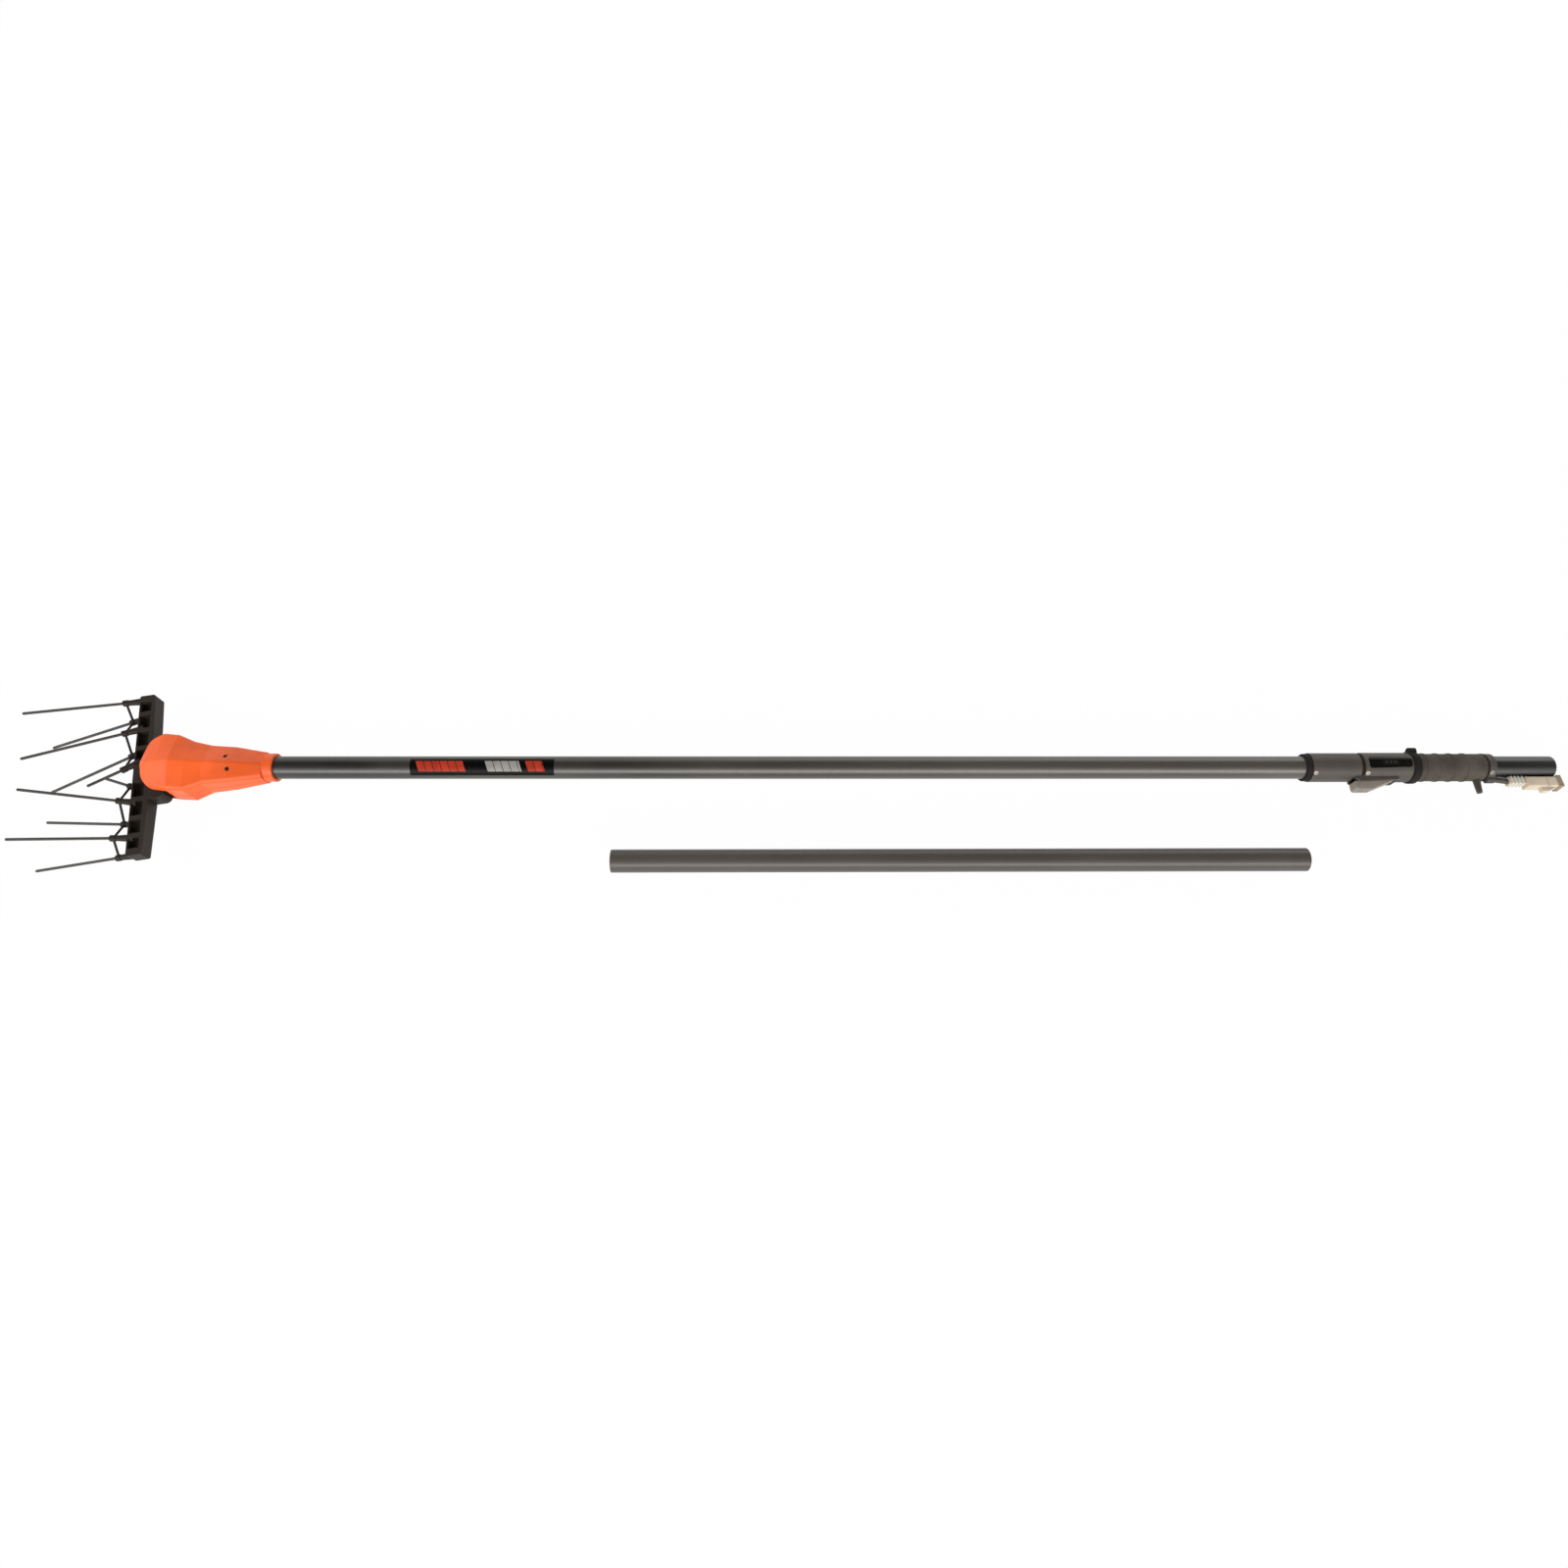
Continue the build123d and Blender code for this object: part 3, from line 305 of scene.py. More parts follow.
@dataclass(frozen=True)
class Rubber:
    """Matt rubber with a pebbled skin and a grey bloom."""

    name: str
    colour: Colour
    bloom: Colour
    roughness: float = 0.72
    pebble: float = 1300.0

    def material(self) -> bpy.types.Material:
        """Builds the finish."""
        g = Graph(self.name)
        pebbles = g.cells(self.pebble)
        clouds = g.noise(22.0, 6.0)
        tint = g.mix(clouds.band(0.4, 0.8) * 0.6, self.colour, self.bloom)
        soft = g.rounded(0.0008)
        tint = g.mix(g.edges(soft) * 0.3, tint, self.bloom)
        rough = self.roughness + (clouds - 0.5) * 0.2
        normal = g.bump(pebbles, 0.00015, 0.45, soft)
        return g.close({"Base Color": tint, "Roughness": rough, "Normal": normal,
                        "Specular IOR Level": 0.15})


@dataclass(frozen=True)
class Metal:
    """Bare metal with turning marks, stains and bright edges."""

    name: str
    colour: Colour
    roughness: float = 0.32
    stretch: tuple[float, float, float] = (1.0, 1.0, 0.05)

    def material(self) -> bpy.types.Material:
        """Builds the finish."""
        g = Graph(self.name)
        marks = g.noise(1500.0, 4.0, 0.6, self.stretch)
        stains = g.noise(60.0, 6.0)
        dull = tuple(c * 0.55 for c in self.colour)
        tint = g.mix(stains.band(0.45, 0.75), self.colour, dull)
        rough = self.roughness + (marks - 0.5) * 0.2 + stains.band(0.5, 0.8) * 0.2
        return g.close({"Base Color": tint, "Metallic": 1.0, "Roughness": rough,
                        "Normal": g.bump(marks, 0.00003, 0.5)})


@dataclass(frozen=True)
class DrawnRod:
    """Dark drawn fibre rod with lengthwise streaks and a worn tip."""

    name: str
    colour: Colour
    streak: Colour
    roughness: float = 0.38

    def material(self) -> bpy.types.Material:
        """Builds the finish."""
        g = Graph(self.name)
        fibres = g.noise(2600.0, 4.0, 0.6, (0.02, 1, 1))
        clouds = g.noise(45.0, 5.0)
        tint = g.mix(fibres.band(0.4, 0.7) * 0.7, self.colour, self.streak)
        tint = g.mix(clouds.band(0.55, 0.8) * 0.35, tint, self.streak)
        rough = self.roughness + (fibres - 0.5) * 0.25
        return g.close({"Base Color": tint, "Roughness": rough, "Normal": g.bump(fibres, 0.00004, 0.4),
                        "Specular IOR Level": 0.3})


@dataclass(frozen=True)
class Glossy:
    """Polished plastic with faint smears."""

    name: str
    colour: Colour
    smear: Colour
    roughness: float = 0.12

    def material(self) -> bpy.types.Material:
        """Builds the finish."""
        g = Graph(self.name)
        smears = g.noise(70.0, 6.0, 0.65, (0.4, 1, 1))
        dust = g.cells(1100.0).band(0.12, 0.03) * smears
        tint = g.mix(smears.band(0.5, 0.85) * 0.3 + dust * 0.4, self.colour, self.smear)
        rough = self.roughness + smears.band(0.4, 0.8) * 0.14 + dust * 0.3
        return g.close({"Base Color": tint, "Roughness": rough, "Normal": g.bump(smears, 0.00002, 0.2),
                        "Specular IOR Level": 0.12})


@dataclass(frozen=True)
class LabelFilm:
    """Black film on the pole with plain slanted colour bars."""

    name: str
    start: float
    length: float
    slant: float = 0.35
    low_edge: float = -11.0 * MM
    high_edge: float = 3.5 * MM
    cuts_per_metre: float = 90.0
    bars: tuple[tuple[float, float, str], ...] = ((0.04, 0.37, "b23a26"), (0.52, 0.76, "9a9792"),
                                                  (0.80, 0.92, "b23a26"))

    def material(self) -> bpy.types.Material:
        """Builds the finish."""
        g = Graph(self.name)
        lean = g.axis("X") + g.axis("Y") * self.slant
        across = g.axis("Y")
        inside = (across > self.low_edge) * (across < self.high_edge)
        clouds = g.noise(60.0, 5.0)
        base = g.mix(clouds.band(0.4, 0.8) * 0.3, linear("050505"), linear("0d0d0d"))
        for low, high, colour in self.bars:
            begin, end = self.start + self.length * low, self.start + self.length * high
            bar = (lean > begin) * (lean < end) * inside
            pitch = (lean - begin) * self.cuts_per_metre
            cuts = g.node("ShaderNodeMath", {"operation": "FRACT"}, {0: pitch})
            wear = 0.75 + clouds.band(0.3, 0.6) * 0.25
            base = g.mix(bar * cuts.band(0.06, 0.1) * wear, base, linear(colour))
        rough = 0.32 + clouds * 0.1
        return g.close({"Base Color": base, "Roughness": rough, "Normal": g.bump(clouds, 0.00002, 0.2),
                        "Specular IOR Level": 0.1})


class Finish(Enum):
    """Every finish on the tool."""

    ORANGE = Moulded("orange_shell", linear("f5642a"), linear("ff9a70"), roughness=0.38, grain=1500.0,
                     depth=0.00005, dust=0.1, edge=0.0012, gloss=0.32)
    COMB = Moulded("comb_nylon", linear("2a231d"), linear("5a5047"), roughness=0.55, grain=1400.0,
                   depth=0.00008, dust=0.2, gloss=0.22)
    GRIP = Moulded("grip_shell", linear("4e4740"), linear("7c736a"), roughness=0.5, grain=1300.0,
                   depth=0.00009, dust=0.2, gloss=0.35)
    TRIGGER = Moulded("trigger_shell", linear("9a9187"), linear("b8afa5"), roughness=0.52, grain=1300.0,
                      depth=0.00009, dust=0.2)
    SLEEVE = Moulded("sleeve_nylon", linear("ece7dd"), linear("f6f2ea"), roughness=0.5, grain=1300.0,
                     dust=0.2)
    NYLON = Moulded("inner_nylon", linear("2a2a2a"), linear("5a5a5a"), roughness=0.5)
    CREAM = Moulded("connector_cream", linear("dccdb6"), linear("f0e7d6"), grain=1500.0, depth=0.00005,
                    dust=0.15, gloss=0.3)
    POLE = CoatedTube("pole_coating", linear("1c1a17"), linear("4a453e"), linear("110f0d"))
    EXTENSION = CoatedTube("extension_coating", linear("4a453f"), linear("4a453f"), linear("4a453f"),
                           gloss=0.38)
    SOFT = Rubber("grip_rubber", linear("453f38"), linear("675e55"), 0.6)
    SEAL = Rubber("seal_rubber", linear("8d7b66"), linear("b5a48e"), 0.6)
    BLACK = Rubber("black_rubber", linear("1b1815"), linear("38332e"))
    STEEL = Metal("plain_steel", linear("b9b6b0"))
    ZINC = Metal("dull_zinc", linear("8b847a"), 0.45)
    BLACKENED = Metal("blackened_steel", linear("4a3a32"), 0.5)
    BRONZE = Metal("sintered_bronze", linear("b98d4a"), 0.38)
    DRAWN = Metal("drawn_aluminium", linear("c9c8c4"), 0.35, (0.03, 1.0, 1.0))
    ROD = DrawnRod("tine_rod", linear("2f2c29"), linear("5c5752"))
    PANEL = Glossy("panel_gloss", linear("131210"), linear("1e1d1b"))
    WINDOW = Glossy("panel_window", linear("1e1c1a"), linear("34312d"), 0.2)
    LENS = Glossy("lamp_lens", linear("3a3834"), linear("5c5952"), 0.08)


class Wardrobe:
    """Makes each finish once and puts it on objects."""

    def __init__(self) -> None:
        """Starts with no material made."""
        self.made: dict[str, bpy.types.Material] = {}

    def get(self, finish: Finish) -> bpy.types.Material:
        """The material of a finish."""
        if finish.name not in self.made:
            self.made[finish.name] = finish.value.material()
        return self.made[finish.name]

    def dress(self, finish: Finish, names: Iterable[str]) -> None:
        """Puts a finish on CAD nodes.

        Args:
            finish: The finish.
            names: The nodes' names.
        """
        for name in names:
            self.put(self.get(finish), frame["nodes"][name])
            LOG.info("%s wears %s", name, finish.name)

    @staticmethod
    def put(material: bpy.types.Material, piece: bpy.types.Object) -> None:
        """Makes a material an object's only one."""
        piece.data.materials.clear()
        piece.data.materials.append(material)


class Shop:
    """Modelling moves on one new piece, each by an operator."""

    def __init__(self, name: str) -> None:
        """Starts a piece that has no mesh yet."""
        self.name = name
        self.piece: bpy.types.Object | None = None

    def start(self, operator: Callable, **settings: object) -> "Shop":
        """Adds the primitive that the piece starts from."""
        if bpy.context.object and bpy.context.object.mode != "OBJECT":
            bpy.ops.object.mode_set(mode="OBJECT")
        bpy.ops.object.select_all(action="DESELECT")
        operator(**settings)
        bpy.ops.object.transform_apply(location=False, rotation=True, scale=True)
        self.piece = bpy.context.object
        self.piece.name = self.name
        return self

    def copy(self, node: str) -> "Shop":
        """Starts from a CAD node's mesh, with its loose triangles joined."""
        self.piece = bpy.data.objects.new(self.name, frame["nodes"][node].data.copy())
        bpy.context.collection.objects.link(self.piece)
        bpy.ops.object.select_all(action="DESELECT")
        self.piece.select_set(True)
        self.do(bpy.ops.mesh.select_all, action="SELECT")
        return self.do(bpy.ops.mesh.remove_doubles, threshold=WELD_UNDER)

    def bead(self, spot: Vector, facing: Vector, radius: float) -> "Shop":
        """Keeps only a bead along the piece's outermost outline on a plane.

        Args:
            spot: A point of the plane.
            facing: The plane's normal.
            radius: The bead's radius.

        Returns:
            The same piece.
        """
        self.do(bpy.ops.mesh.select_all, action="SELECT")
        self.do(bpy.ops.mesh.bisect, plane_co=spot, plane_no=facing, clear_inner=True, clear_outer=True)
        bpy.ops.mesh.select_mode(type="VERT")
        bpy.ops.mesh.select_all(action="DESELECT")
        self._mode("OBJECT")
        points = self.piece.data.vertices
        max(points, key=lambda point: abs(point.co.y)).select = True
        self.do(bpy.ops.mesh.select_linked)
        self.do(bpy.ops.mesh.select_all, action="INVERT")
        self.do(bpy.ops.mesh.delete, type="VERT")
        self._mode("OBJECT")
        bpy.ops.object.convert(target="CURVE")
        self.piece = bpy.context.object
        self.piece.data.bevel_depth = radius
        self.piece.data.bevel_resolution = BEAD_STEPS
        bpy.ops.object.convert(target="MESH")
        self.piece = bpy.context.object
        self.piece.name = self.name
        return self

    def pick(self, test: Callable[[Vector, Vector], bool]) -> "Shop":
        """Selects the faces whose middle and normal pass a test, in edit mode."""
        self._mode("EDIT")
        bpy.ops.mesh.select_mode(type="FACE")
        bpy.ops.mesh.select_all(action="DESELECT")
        self._mode("OBJECT")
        turn = self.piece.matrix_world
        for face in self.piece.data.polygons:
            face.select = bool(test(turn @ face.center, (turn.to_3x3() @ face.normal).normalized()))
        self._mode("EDIT")
        return self

    def drop(self, test: Callable[[Vector, Vector], bool], kind: str = "FACE") -> "Shop":
        """Deletes the faces whose middle and normal pass a test."""
        return self.pick(test).do(bpy.ops.mesh.delete, type=kind)

    def do(self, operator: Callable, **settings: object) -> "Shop":
        """Runs an operator on what is selected in edit mode."""
        self._mode("EDIT")
        operator(**settings)
        return self

    def rim(self, wall: float) -> "Shop":
        """Rounds the sharp rims of a thin wall."""
        return self.modify("BEVEL", width=wall * RIM_SHARE, segments=RIM_STEPS, limit_method="ANGLE")

    def modify(self, kind: str, **settings: object) -> "Shop":
        """Adds a modifier and applies it."""
        self._mode("OBJECT")
        modifier = self.piece.modifiers.new(kind.title(), kind)
        for key, value in settings.items():
            setattr(modifier, key, value)
        bpy.ops.object.modifier_apply(modifier=modifier.name)
        return self

    def finish(self, placing: Matrix, body: str, material: bpy.types.Material, slot: str) -> None:
        """Applies the piece's place, shades it and lets it ride.

        Args:
            placing: From the tool's own frame to the shared one.
            body: The body that it moves with.
            material: Its finish.
            slot: The record's slot of that finish; not used.
        """
        self._mode("OBJECT")
        self.piece.matrix_world = placing @ self.piece.matrix_world
        bpy.ops.object.transform_apply(location=True, rotation=True, scale=True)
        bpy.ops.object.shade_smooth_by_angle(angle=SMOOTH_UNDER)
        Wardrobe.put(material, self.piece)
        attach(self.piece, body)
        LOG.info("%s modelled", self.name)

    def _mode(self, mode: str) -> None:
        """Changes Blender's mode if it is another one."""
        bpy.context.view_layer.objects.active = self.piece
        if self.piece.mode != mode:
            bpy.ops.object.mode_set(mode=mode)


def open_tube(name: str, span: tuple[float, float], radius: float, steps: int) -> Shop:
    """Starts a thin tube round the pole's axis, open at both ends.

    Args:
        name: The piece's name.
        span: Where it starts and ends along the pole.
        radius: Its radius.
        steps: The number of faces round it.

    Returns:
        The shop that holds it.
    """
    return Shop(name).start(
        bpy.ops.mesh.primitive_cylinder_add, vertices=steps, radius=radius, depth=span[1] - span[0],
        end_fill_type="NOTHING", location=((span[0] + span[1]) / 2, 0, 0), rotation=(0, math.pi / 2, 0))


def round_band(name: str, span: tuple[float, float], radius: float, wall: float,
               gap_half_arc: float = 0.0) -> Shop:
    """Models a band round the pole's axis with rounded rims.

    Args:
        name: The piece's name.
        span: Where it starts and ends along the pole.
        radius: Its outer radius.
        wall: Its thickness.
        gap_half_arc: Half of the arc left open on the trigger's side, in degrees.

    Returns:
        The shop that holds it.
    """
    shop = open_tube(name, span, radius, BAND_STEPS)
    if gap_half_arc:
        trigger_side = Vector((0, -1, 0))
        shop.drop(lambda middle, normal: normal.angle(trigger_side) < math.radians(gap_half_arc))
    return shop.modify("SOLIDIFY", thickness=wall, offset=-1).rim(wall)


def box_band(name: str, middle: Vector, size: Vector, wall: float) -> Shop:
    """Models a square band with rounded corners, open along X.

    Args:
        name: The piece's name.
        middle: Its centre.
        size: Its length along X and its two outer widths.
        wall: Its thickness.

    Returns:
        The shop that holds it.
    """
    shop = Shop(name).start(bpy.ops.mesh.primitive_cube_add, size=1.0, location=middle, scale=size)
    shop.drop(lambda centre, normal: abs(normal.x) > 0.9, "ONLY_FACE")
    return shop.modify("SOLIDIFY", thickness=wall, offset=-1, use_even_offset=True).rim(wall)


def tool_frame() -> Matrix:
    """The turn from the tool's own frame, with its pole on X, to the shared frame."""
    mounts = {mount["name"]: mount for mount in frame["record"]["mounts"]}
    along = mounts["tail_socket"]["axis"]
    return Matrix.Rotation(math.atan2(-along[2], along[0]), 4, "Y")


@dataclass
class Head:
    """Motor head with its two covers."""

    covers: tuple[str, ...] = ("head_cover_upper", "head_cover_lower", "neck_collar")
    steel: tuple[str, ...] = ("pivot_pin", "motor_plate", "motor_can", "motor_shaft", "sun_pinion",
                              "crank_shaft", "drive_roller")
    nylon: tuple[str, ...] = ("thrust_washers", "ring_gear", "gearbox_cover", "motor_cap", "planet_gear_1",
                              "planet_gear_2", "planet_gear_3")
    bronze: tuple[str, ...] = ("output_bush", "pivot_bush")
    gasket_r: float = 0.35 * MM
    gasket_lift: float = 0.1 * MM

    def dress(self, wardrobe: Wardrobe) -> None:
        """Puts the head's finishes on."""
        wardrobe.dress(Finish.ORANGE, self.covers)
        wardrobe.dress(Finish.STEEL, self.steel)
        wardrobe.dress(Finish.NYLON, self.nylon)
        wardrobe.dress(Finish.BRONZE, self.bronze)
        wardrobe.dress(Finish.BLACKENED, ["head_screws"])

    def build_gasket(self, wardrobe: Wardrobe) -> None:
        """Models the seal that shows between the covers."""
        facing = tool_frame().to_3x3() @ Vector((0, 0, 1))
        seal = Shop("head_gasket").copy("head_cover_upper")
        seal.bead(facing * self.gasket_lift, facing, self.gasket_r)
        seal.finish(Matrix.Identity(4), "frame", wardrobe.get(Finish.ORANGE), "shell_orange")


@dataclass
class Comb:
    """Rocking comb with its tines."""

    moulded: tuple[str, ...] = ("comb_hub", "comb_arm_upper", "comb_arm_lower", "tine_brace_upper",
                                "tine_brace_lower")
    tines_per_arm: int = 5

    def dress(self, wardrobe: Wardrobe) -> None:
        """Puts the comb's finishes on."""
        wardrobe.dress(Finish.COMB, self.moulded)
        wardrobe.dress(Finish.BLACKENED, ["arm_bolts"])
        for arm in ("upper", "lower"):
            wardrobe.dress(Finish.ROD, [f"tine_{arm}_{index + 1}" for index in range(self.tines_per_arm)])


@dataclass
class Pole:
    """The pole, its label film and the loose extension."""

    radius: float = 16.0 * MM
    label_front: float = -1599.0 * MM
    label_length: float = 201.0 * MM
    label_half_arc: float = 46.0
    label_turn: float = 20.0
    film: float = 0.15 * MM
    film_share: float = 0.8
    label_steps: int = 144

    def dress(self, wardrobe: Wardrobe) -> None:
        """Puts the tubes' finishes on."""
        wardrobe.dress(Finish.POLE, ["pole_tube"])
        wardrobe.dress(Finish.EXTENSION, ["extension_tube"])
        wardrobe.dress(Finish.BLACK, ["inner_cable"])
        wardrobe.dress(Finish.DRAWN, ["joint_ferrule"])
        wardrobe.dress(Finish.NYLON, ["tail_plug"])

    def build_label(self) -> None:
        """Models the label: a ring of faces drawn out along the pole, kept on its arc."""
        span = (self.label_front, self.label_front + self.label_length)
        shop = open_tube("pole_label", span, self.radius + self.film, self.label_steps)
        turn = math.radians(self.label_turn)
        facing = Vector((0, -math.sin(turn), math.cos(turn)))
        reach = math.radians(self.label_half_arc)
        shop.drop(lambda middle, normal: normal.angle(facing) > reach)
        shop.modify("SOLIDIFY", thickness=self.film * self.film_share, offset=-1)
        film = LabelFilm("label_film", self.label_front, self.label_length).material()
        shop.finish(tool_frame(), "frame", film, "panel_black")


@dataclass
class Handle:
    """Handle with trigger, panel, rings, grip and connector."""

    shells: tuple[str, ...] = ("handle_shell_upper", "handle_shell_lower", "end_collar", "lead_boot",
                               "cable_hook")
    rubber: tuple[str, ...] = ("front_ring", "guard_ring")
    steel: tuple[str, ...] = ("trigger_pin", "trigger_spring")
    seam_span: tuple[float, float] = (-272.8 * MM, -268.2 * MM)
    seam_r: float = 19.6 * MM
    seam_gap: float = 27.0
    collar_span: tuple[float, float] = (-97.6 * MM, -94.4 * MM)
    collar_r: float = 19.75 * MM
    band_wall: float = 0.9 * MM
    joint_r: float = 0.22 * MM
    window_span: tuple[float, float] = (-244.0 * MM, -222.0 * MM)
    window_half_arc: float = 11.0
    window_r: float = 21.02 * MM
    window_film: float = 0.1 * MM
    window_steps: int = 288
    connector_turn: float = -8.0
    sleeve_axis: float = -22.9 * MM
    sleeve_size: float = 11.0 * MM
    rib_width: float = 2.2 * MM
    rib_rise: float = 0.5 * MM
    rib_wall: float = 0.9 * MM
    rib_places: tuple[float, ...] = (-62.0 * MM, -57.0 * MM, -52.0 * MM, -47.0 * MM)
    block_axis: float = -25.5 * MM
    block_size: tuple[float, float] = (15.0 * MM, 14.0 * MM)
    block_line: float = -15.0 * MM
    line_width: float = 0.8 * MM
    line_rise: float = 0.15 * MM
    line_wall: float = 0.4 * MM
    ridge_start: float = -275.0 * MM
    ridge_pitch: float = 4.0 * MM
    ridge_count: int = 4
    ridge_size: tuple[float, float, float] = (1.8 * MM, 1.2 * MM, 12.0 * MM)
    ridge_round: float = 0.5 * MM
    trigger_face: float = -35.0 * MM

    def dress(self, wardrobe: Wardrobe) -> None:
        """Puts the handle's finishes on."""
        wardrobe.dress(Finish.GRIP, self.shells)
        wardrobe.dress(Finish.BLACK, self.rubber)
        wardrobe.dress(Finish.STEEL, self.steel)
        wardrobe.dress(Finish.ZINC, ["handle_screws"])
        wardrobe.dress(Finish.SOFT, ["rear_grip"])
        wardrobe.dress(Finish.TRIGGER, ["trigger"])
        wardrobe.dress(Finish.PANEL, ["control_panel", "mode_button"])
        wardrobe.dress(Finish.LENS, ["status_lenses"])
        wardrobe.dress(Finish.NYLON, ["microswitch"])
        wardrobe.dress(Finish.CREAM, ["connector_block"])
        wardrobe.dress(Finish.SEAL, ["connector_seal"])
        wardrobe.dress(Finish.BRONZE, ["connector_contacts"])

    def build_bands(self, wardrobe: Wardrobe) -> None:
        """Models the dark bands in the grip's grooves and the joint of the two shells."""
        black = wardrobe.get(Finish.BLACK)
        seam = round_band("seam_band", self.seam_span, self.seam_r, self.band_wall, self.seam_gap)
        seam.finish(tool_frame(), "frame", black, "black_rubber")
        collar = round_band("collar_band", self.collar_span, self.collar_r, self.band_wall)
        collar.finish(tool_frame(), "frame", black, "black_rubber")
        facing = tool_frame().to_3x3() @ Vector((0, 0, 1))
        joint = Shop("shell_joint").copy("handle_shell_upper")
        joint.bead(facing * self.joint_r, facing, self.joint_r)
        joint.finish(Matrix.Identity(4), "frame", black, "black_rubber")

    def build_window(self, wardrobe: Wardrobe) -> None:
        """Models the smoked window round the status lamps."""
        shop = open_tube("panel_window", self.window_span, self.window_r, self.window_steps)
        facing, reach = Vector((0, 0, 1)), math.radians(self.window_half_arc)
        shop.drop(lambda middle, normal: normal.angle(facing) > reach)
        shop.modify("SOLIDIFY", thickness=self.window_film, offset=-1)
        shop.finish(tool_frame(), "frame", wardrobe.get(Finish.WINDOW), "panel_black")

    def build_ridges(self, wardrobe: Wardrobe) -> None:
        """Models the finger ridges on the trigger."""
        spot = (self.ridge_start, self.trigger_face, 0)
        shop = Shop("trigger_ridges")
        shop.start(bpy.ops.mesh.primitive_cube_add, size=1.0, location=spot, scale=self.ridge_size)
        shop.modify("BEVEL", width=self.ridge_round, segments=RIM_STEPS)
        shop.modify("ARRAY", count=self.ridge_count, use_relative_offset=False, use_constant_offset=True,
                    constant_offset_displace=(self.ridge_pitch, 0, 0))
        shop.finish(tool_frame(), "trigger", wardrobe.get(Finish.TRIGGER), "grip_grey")

    def build_connector(self, wardrobe: Wardrobe) -> None:
        """Models the ribs of the connector's sleeve and the joint round its block."""
        place = tool_frame() @ Matrix.Rotation(math.radians(self.connector_turn), 4, "X")
        side = self.sleeve_size + 2 * self.rib_rise
        for index, x in enumerate(self.rib_places):
            rib = box_band(f"sleeve_rib_{index + 1}", Vector((x, self.sleeve_axis, 0)),
                           Vector((self.rib_width, side, side)), self.rib_wall)
            rib.finish(place, "frame", wardrobe.get(Finish.SLEEVE), "connector_cream")
        tall, wide = (edge + 2 * self.line_rise for edge in self.block_size)
        line = box_band("block_joint", Vector((self.block_line, self.block_axis, 0)),
                        Vector((self.line_width, tall, wide)), self.line_wall)
        line.finish(place, "frame", wardrobe.get(Finish.SEAL), "connector_cream")


@dataclass(frozen=True)
class SoftBox:
    """A soft box on a stand, which polished pieces show only if it is mirrored."""

    name: str
    offset: tuple[float, float, float]
    size: tuple[float, float]
    power: float
    mirrored: bool = True

    def build(self, middle: Vector) -> None:
        """Sets the lamp up at its offset from the tool's middle, and turns it there."""
        light = bpy.data.lights.new(self.name, "AREA")
        light.shape = "RECTANGLE"
        light.size, light.size_y = self.size
        light.energy = self.power
        lamp = bpy.data.objects.new(self.name, light)
        bpy.context.collection.objects.link(lamp)
        lamp.visible_glossy = self.mirrored
        lamp.location = middle + Vector(self.offset)
        lamp.rotation_euler = (middle - lamp.location).to_track_quat("-Z", "Y").to_euler()


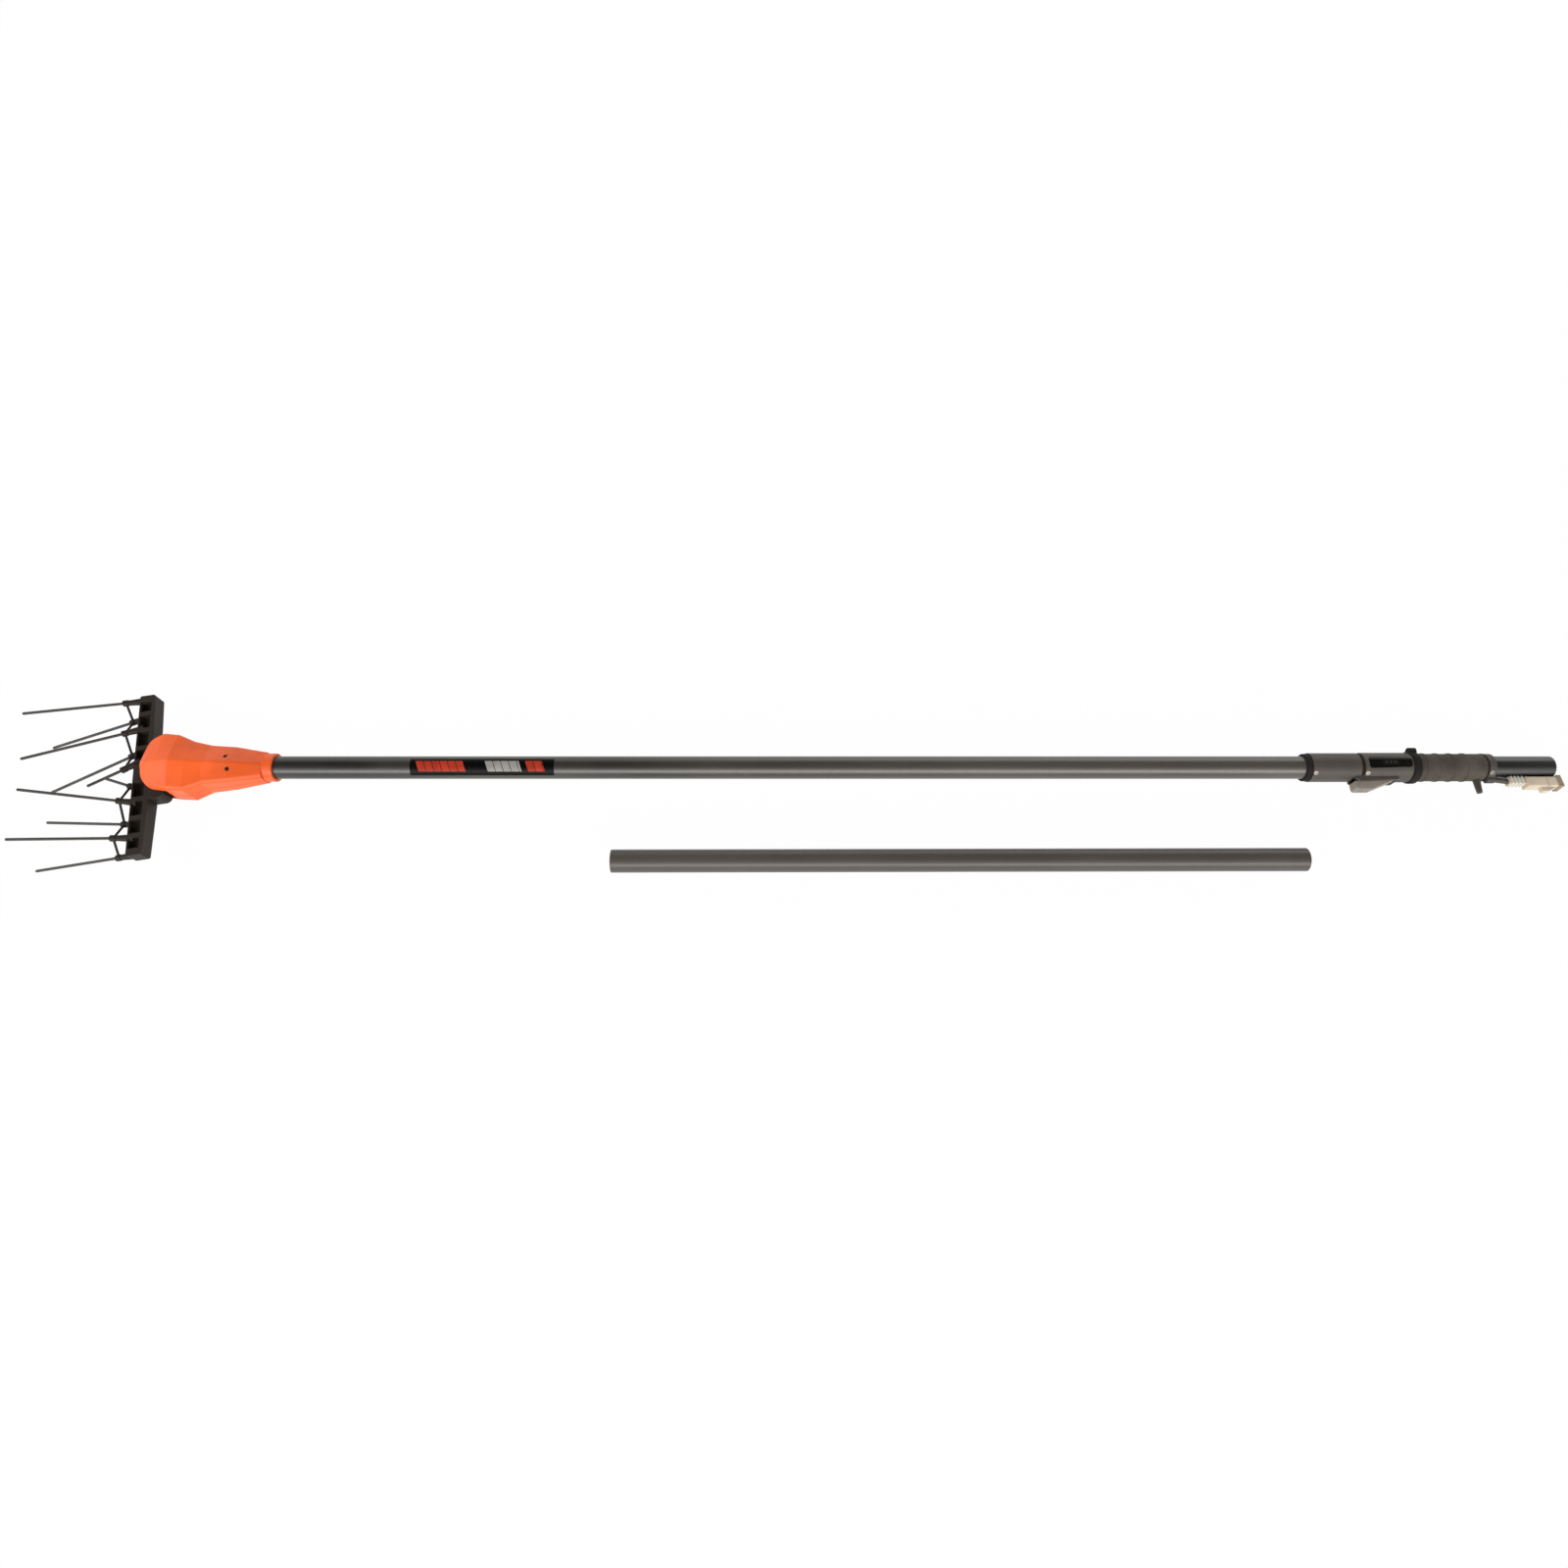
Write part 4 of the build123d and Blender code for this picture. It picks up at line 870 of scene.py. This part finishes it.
@dataclass
class Studio:
    """White floor, soft lights and the camera of the photograph."""

    target: tuple[float, float, float] = (-1077.0 * MM, -21.4 * MM, -8.7 * MM)
    distance: float = 1382.0 * MM
    elevation: float = 68.0
    lens: float = 22.5
    sensor: float = 36.0
    clip_end: float = 50.0
    world_light: float = 0.46
    world_white: float = 1.0
    floor_size: float = 14.0
    floor_drop: float = 0.5 * MM
    floor_grey: float = 0.9
    floor_white: float = 0.985
    ceiling_height: float = 1.5
    ceiling_span: tuple[float, float] = (-0.8, 1.5)
    ceiling_length: float = 6.4
    ceiling_grey: float = 0.05
    boxes: tuple[SoftBox, ...] = (
        SoftBox("front_box", (0.0, -2.1, 1.1), (5.2, 0.9), 78.0),
        SoftBox("back_box", (1.1, 2.3, 0.9), (3.2, 0.7), 12.0),
        SoftBox("back_fill", (-0.2, 2.3, 0.9), (3.6, 0.7), 24.0, False),
        SoftBox("left_box", (-2.2, -0.4, 1.2), (1.6, 0.9), 9.0),
        SoftBox("left_fill", (-2.2, 0.2, 1.0), (1.6, 0.9), 12.0, False),
        SoftBox("right_box", (2.5, 0.0, 0.8), (1.6, 0.8), 5.0),
    )

    def build(self) -> None:
        """Sets the stage."""
        bpy.context.scene.view_settings.view_transform = "Standard"
        self.build_world()
        self.build_floor()
        self.build_ceiling()
        for box in self.boxes:
            box.build(Vector(self.target))
        self.build_camera()

    def build_world(self) -> None:
        """White surroundings, brighter to the camera than to the object."""
        world = bpy.data.worlds.new("studio")
        bpy.context.scene.world = world
        world.use_nodes = True
        tree = world.node_tree
        tree.nodes.clear()
        path = tree.nodes.new("ShaderNodeLightPath")
        seen = path.outputs["Is Camera Ray"]
        for ray in MIRROR_RAYS:
            either = tree.nodes.new("ShaderNodeMath")
            either.operation = "MAXIMUM"
            tree.links.new(seen, either.inputs[0])
            tree.links.new(path.outputs[ray], either.inputs[1])
            seen = either.outputs[0]
        strength = tree.nodes.new("ShaderNodeMapRange")
        strength.inputs["To Min"].default_value = self.world_light
        strength.inputs["To Max"].default_value = self.world_white
        tree.links.new(seen, strength.inputs["Value"])
        light = tree.nodes.new("ShaderNodeBackground")
        light.inputs["Color"].default_value = (1, 1, 1, 1)
        tree.links.new(strength.outputs[0], light.inputs["Strength"])
        end = tree.nodes.new("ShaderNodeOutputWorld")
        tree.links.new(light.outputs[0], end.inputs["Surface"])

    def build_floor(self) -> None:
        """Pale floor under the tool, which shows white and keeps a soft shadow."""
        bpy.ops.object.select_all(action="DESELECT")
        level = CAD_BOX[0][2] - self.floor_drop
        bpy.ops.mesh.primitive_plane_add(size=self.floor_size, location=(self.target[0], 0, level))
        floor = bpy.context.object
        floor.name = "studio_floor"
        g = Graph("studio_white")
        seen = g.node("ShaderNodeLightPath", output="Is Camera Ray")
        for ray in MIRROR_RAYS:
            other = g.node("ShaderNodeLightPath", output=ray)
            seen = g.node("ShaderNodeMath", {"operation": "MAXIMUM"}, {0: seen, 1: other})
        lit = g.node("ShaderNodeBsdfDiffuse", inputs={"Color": (*[self.floor_grey] * 3, 1)})
        white = g.node("ShaderNodeEmission", inputs={"Color": (1, 1, 1, 1), "Strength": 1.0})
        g.end(g.node("ShaderNodeMixShader", inputs={0: seen * self.floor_white, 1: lit, 2: white}))
        Wardrobe.put(g.material, floor)

    def build_ceiling(self) -> None:
        """Dark card over the tool, unseen by the camera, which keeps its upper faces deep."""
        bpy.ops.object.select_all(action="DESELECT")
        near, far = self.ceiling_span
        spot = (self.target[0], (near + far) / 2, self.ceiling_height)
        bpy.ops.mesh.primitive_plane_add(size=1.0, location=spot)
        card = bpy.context.object
        card.name = "studio_ceiling"
        card.scale = (self.ceiling_length, far - near, 1.0)
        card.visible_camera = False
        g = Graph("studio_black")
        g.end(g.node("ShaderNodeBsdfDiffuse", inputs={"Color": (*[self.ceiling_grey] * 3, 1)}))
        Wardrobe.put(g.material, card)

    def build_camera(self) -> None:
        """Camera above the tool, square to the pole, as in the photograph."""
        tilt = math.radians(self.elevation)
        back = Vector((0, -math.cos(tilt), math.sin(tilt)))
        up = Vector((0, math.sin(tilt), math.cos(tilt)))
        spot = Vector(self.target) + back * self.distance
        pose = Matrix.Identity(4)
        for row in range(3):
            pose[row][0] = (1, 0, 0)[row]
            pose[row][1] = up[row]
            pose[row][2] = back[row]
            pose[row][3] = spot[row]
        data = bpy.data.cameras.new("photo_camera")
        data.lens = self.lens
        data.sensor_width = self.sensor
        data.clip_end = self.clip_end
        camera = bpy.data.objects.new("photo_camera", data)
        bpy.context.collection.objects.link(camera)
        camera.matrix_world = tool_frame() @ pose
        bpy.context.scene.camera = camera


def main() -> None:
    """Builds the scene, piece by piece."""
    logging.basicConfig(level=logging.INFO, format="%(name)s: %(message)s")
    wardrobe = Wardrobe()
    head, comb, pole, handle = Head(), Comb(), Pole(), Handle()
    for assembly in (head, comb, pole, handle):
        assembly.dress(wardrobe)
    head.build_gasket(wardrobe)
    pole.build_label()
    handle.build_bands(wardrobe)
    handle.build_window(wardrobe)
    handle.build_ridges(wardrobe)
    handle.build_connector(wardrobe)
    Studio().build()


if __name__ == "__main__":
    main()
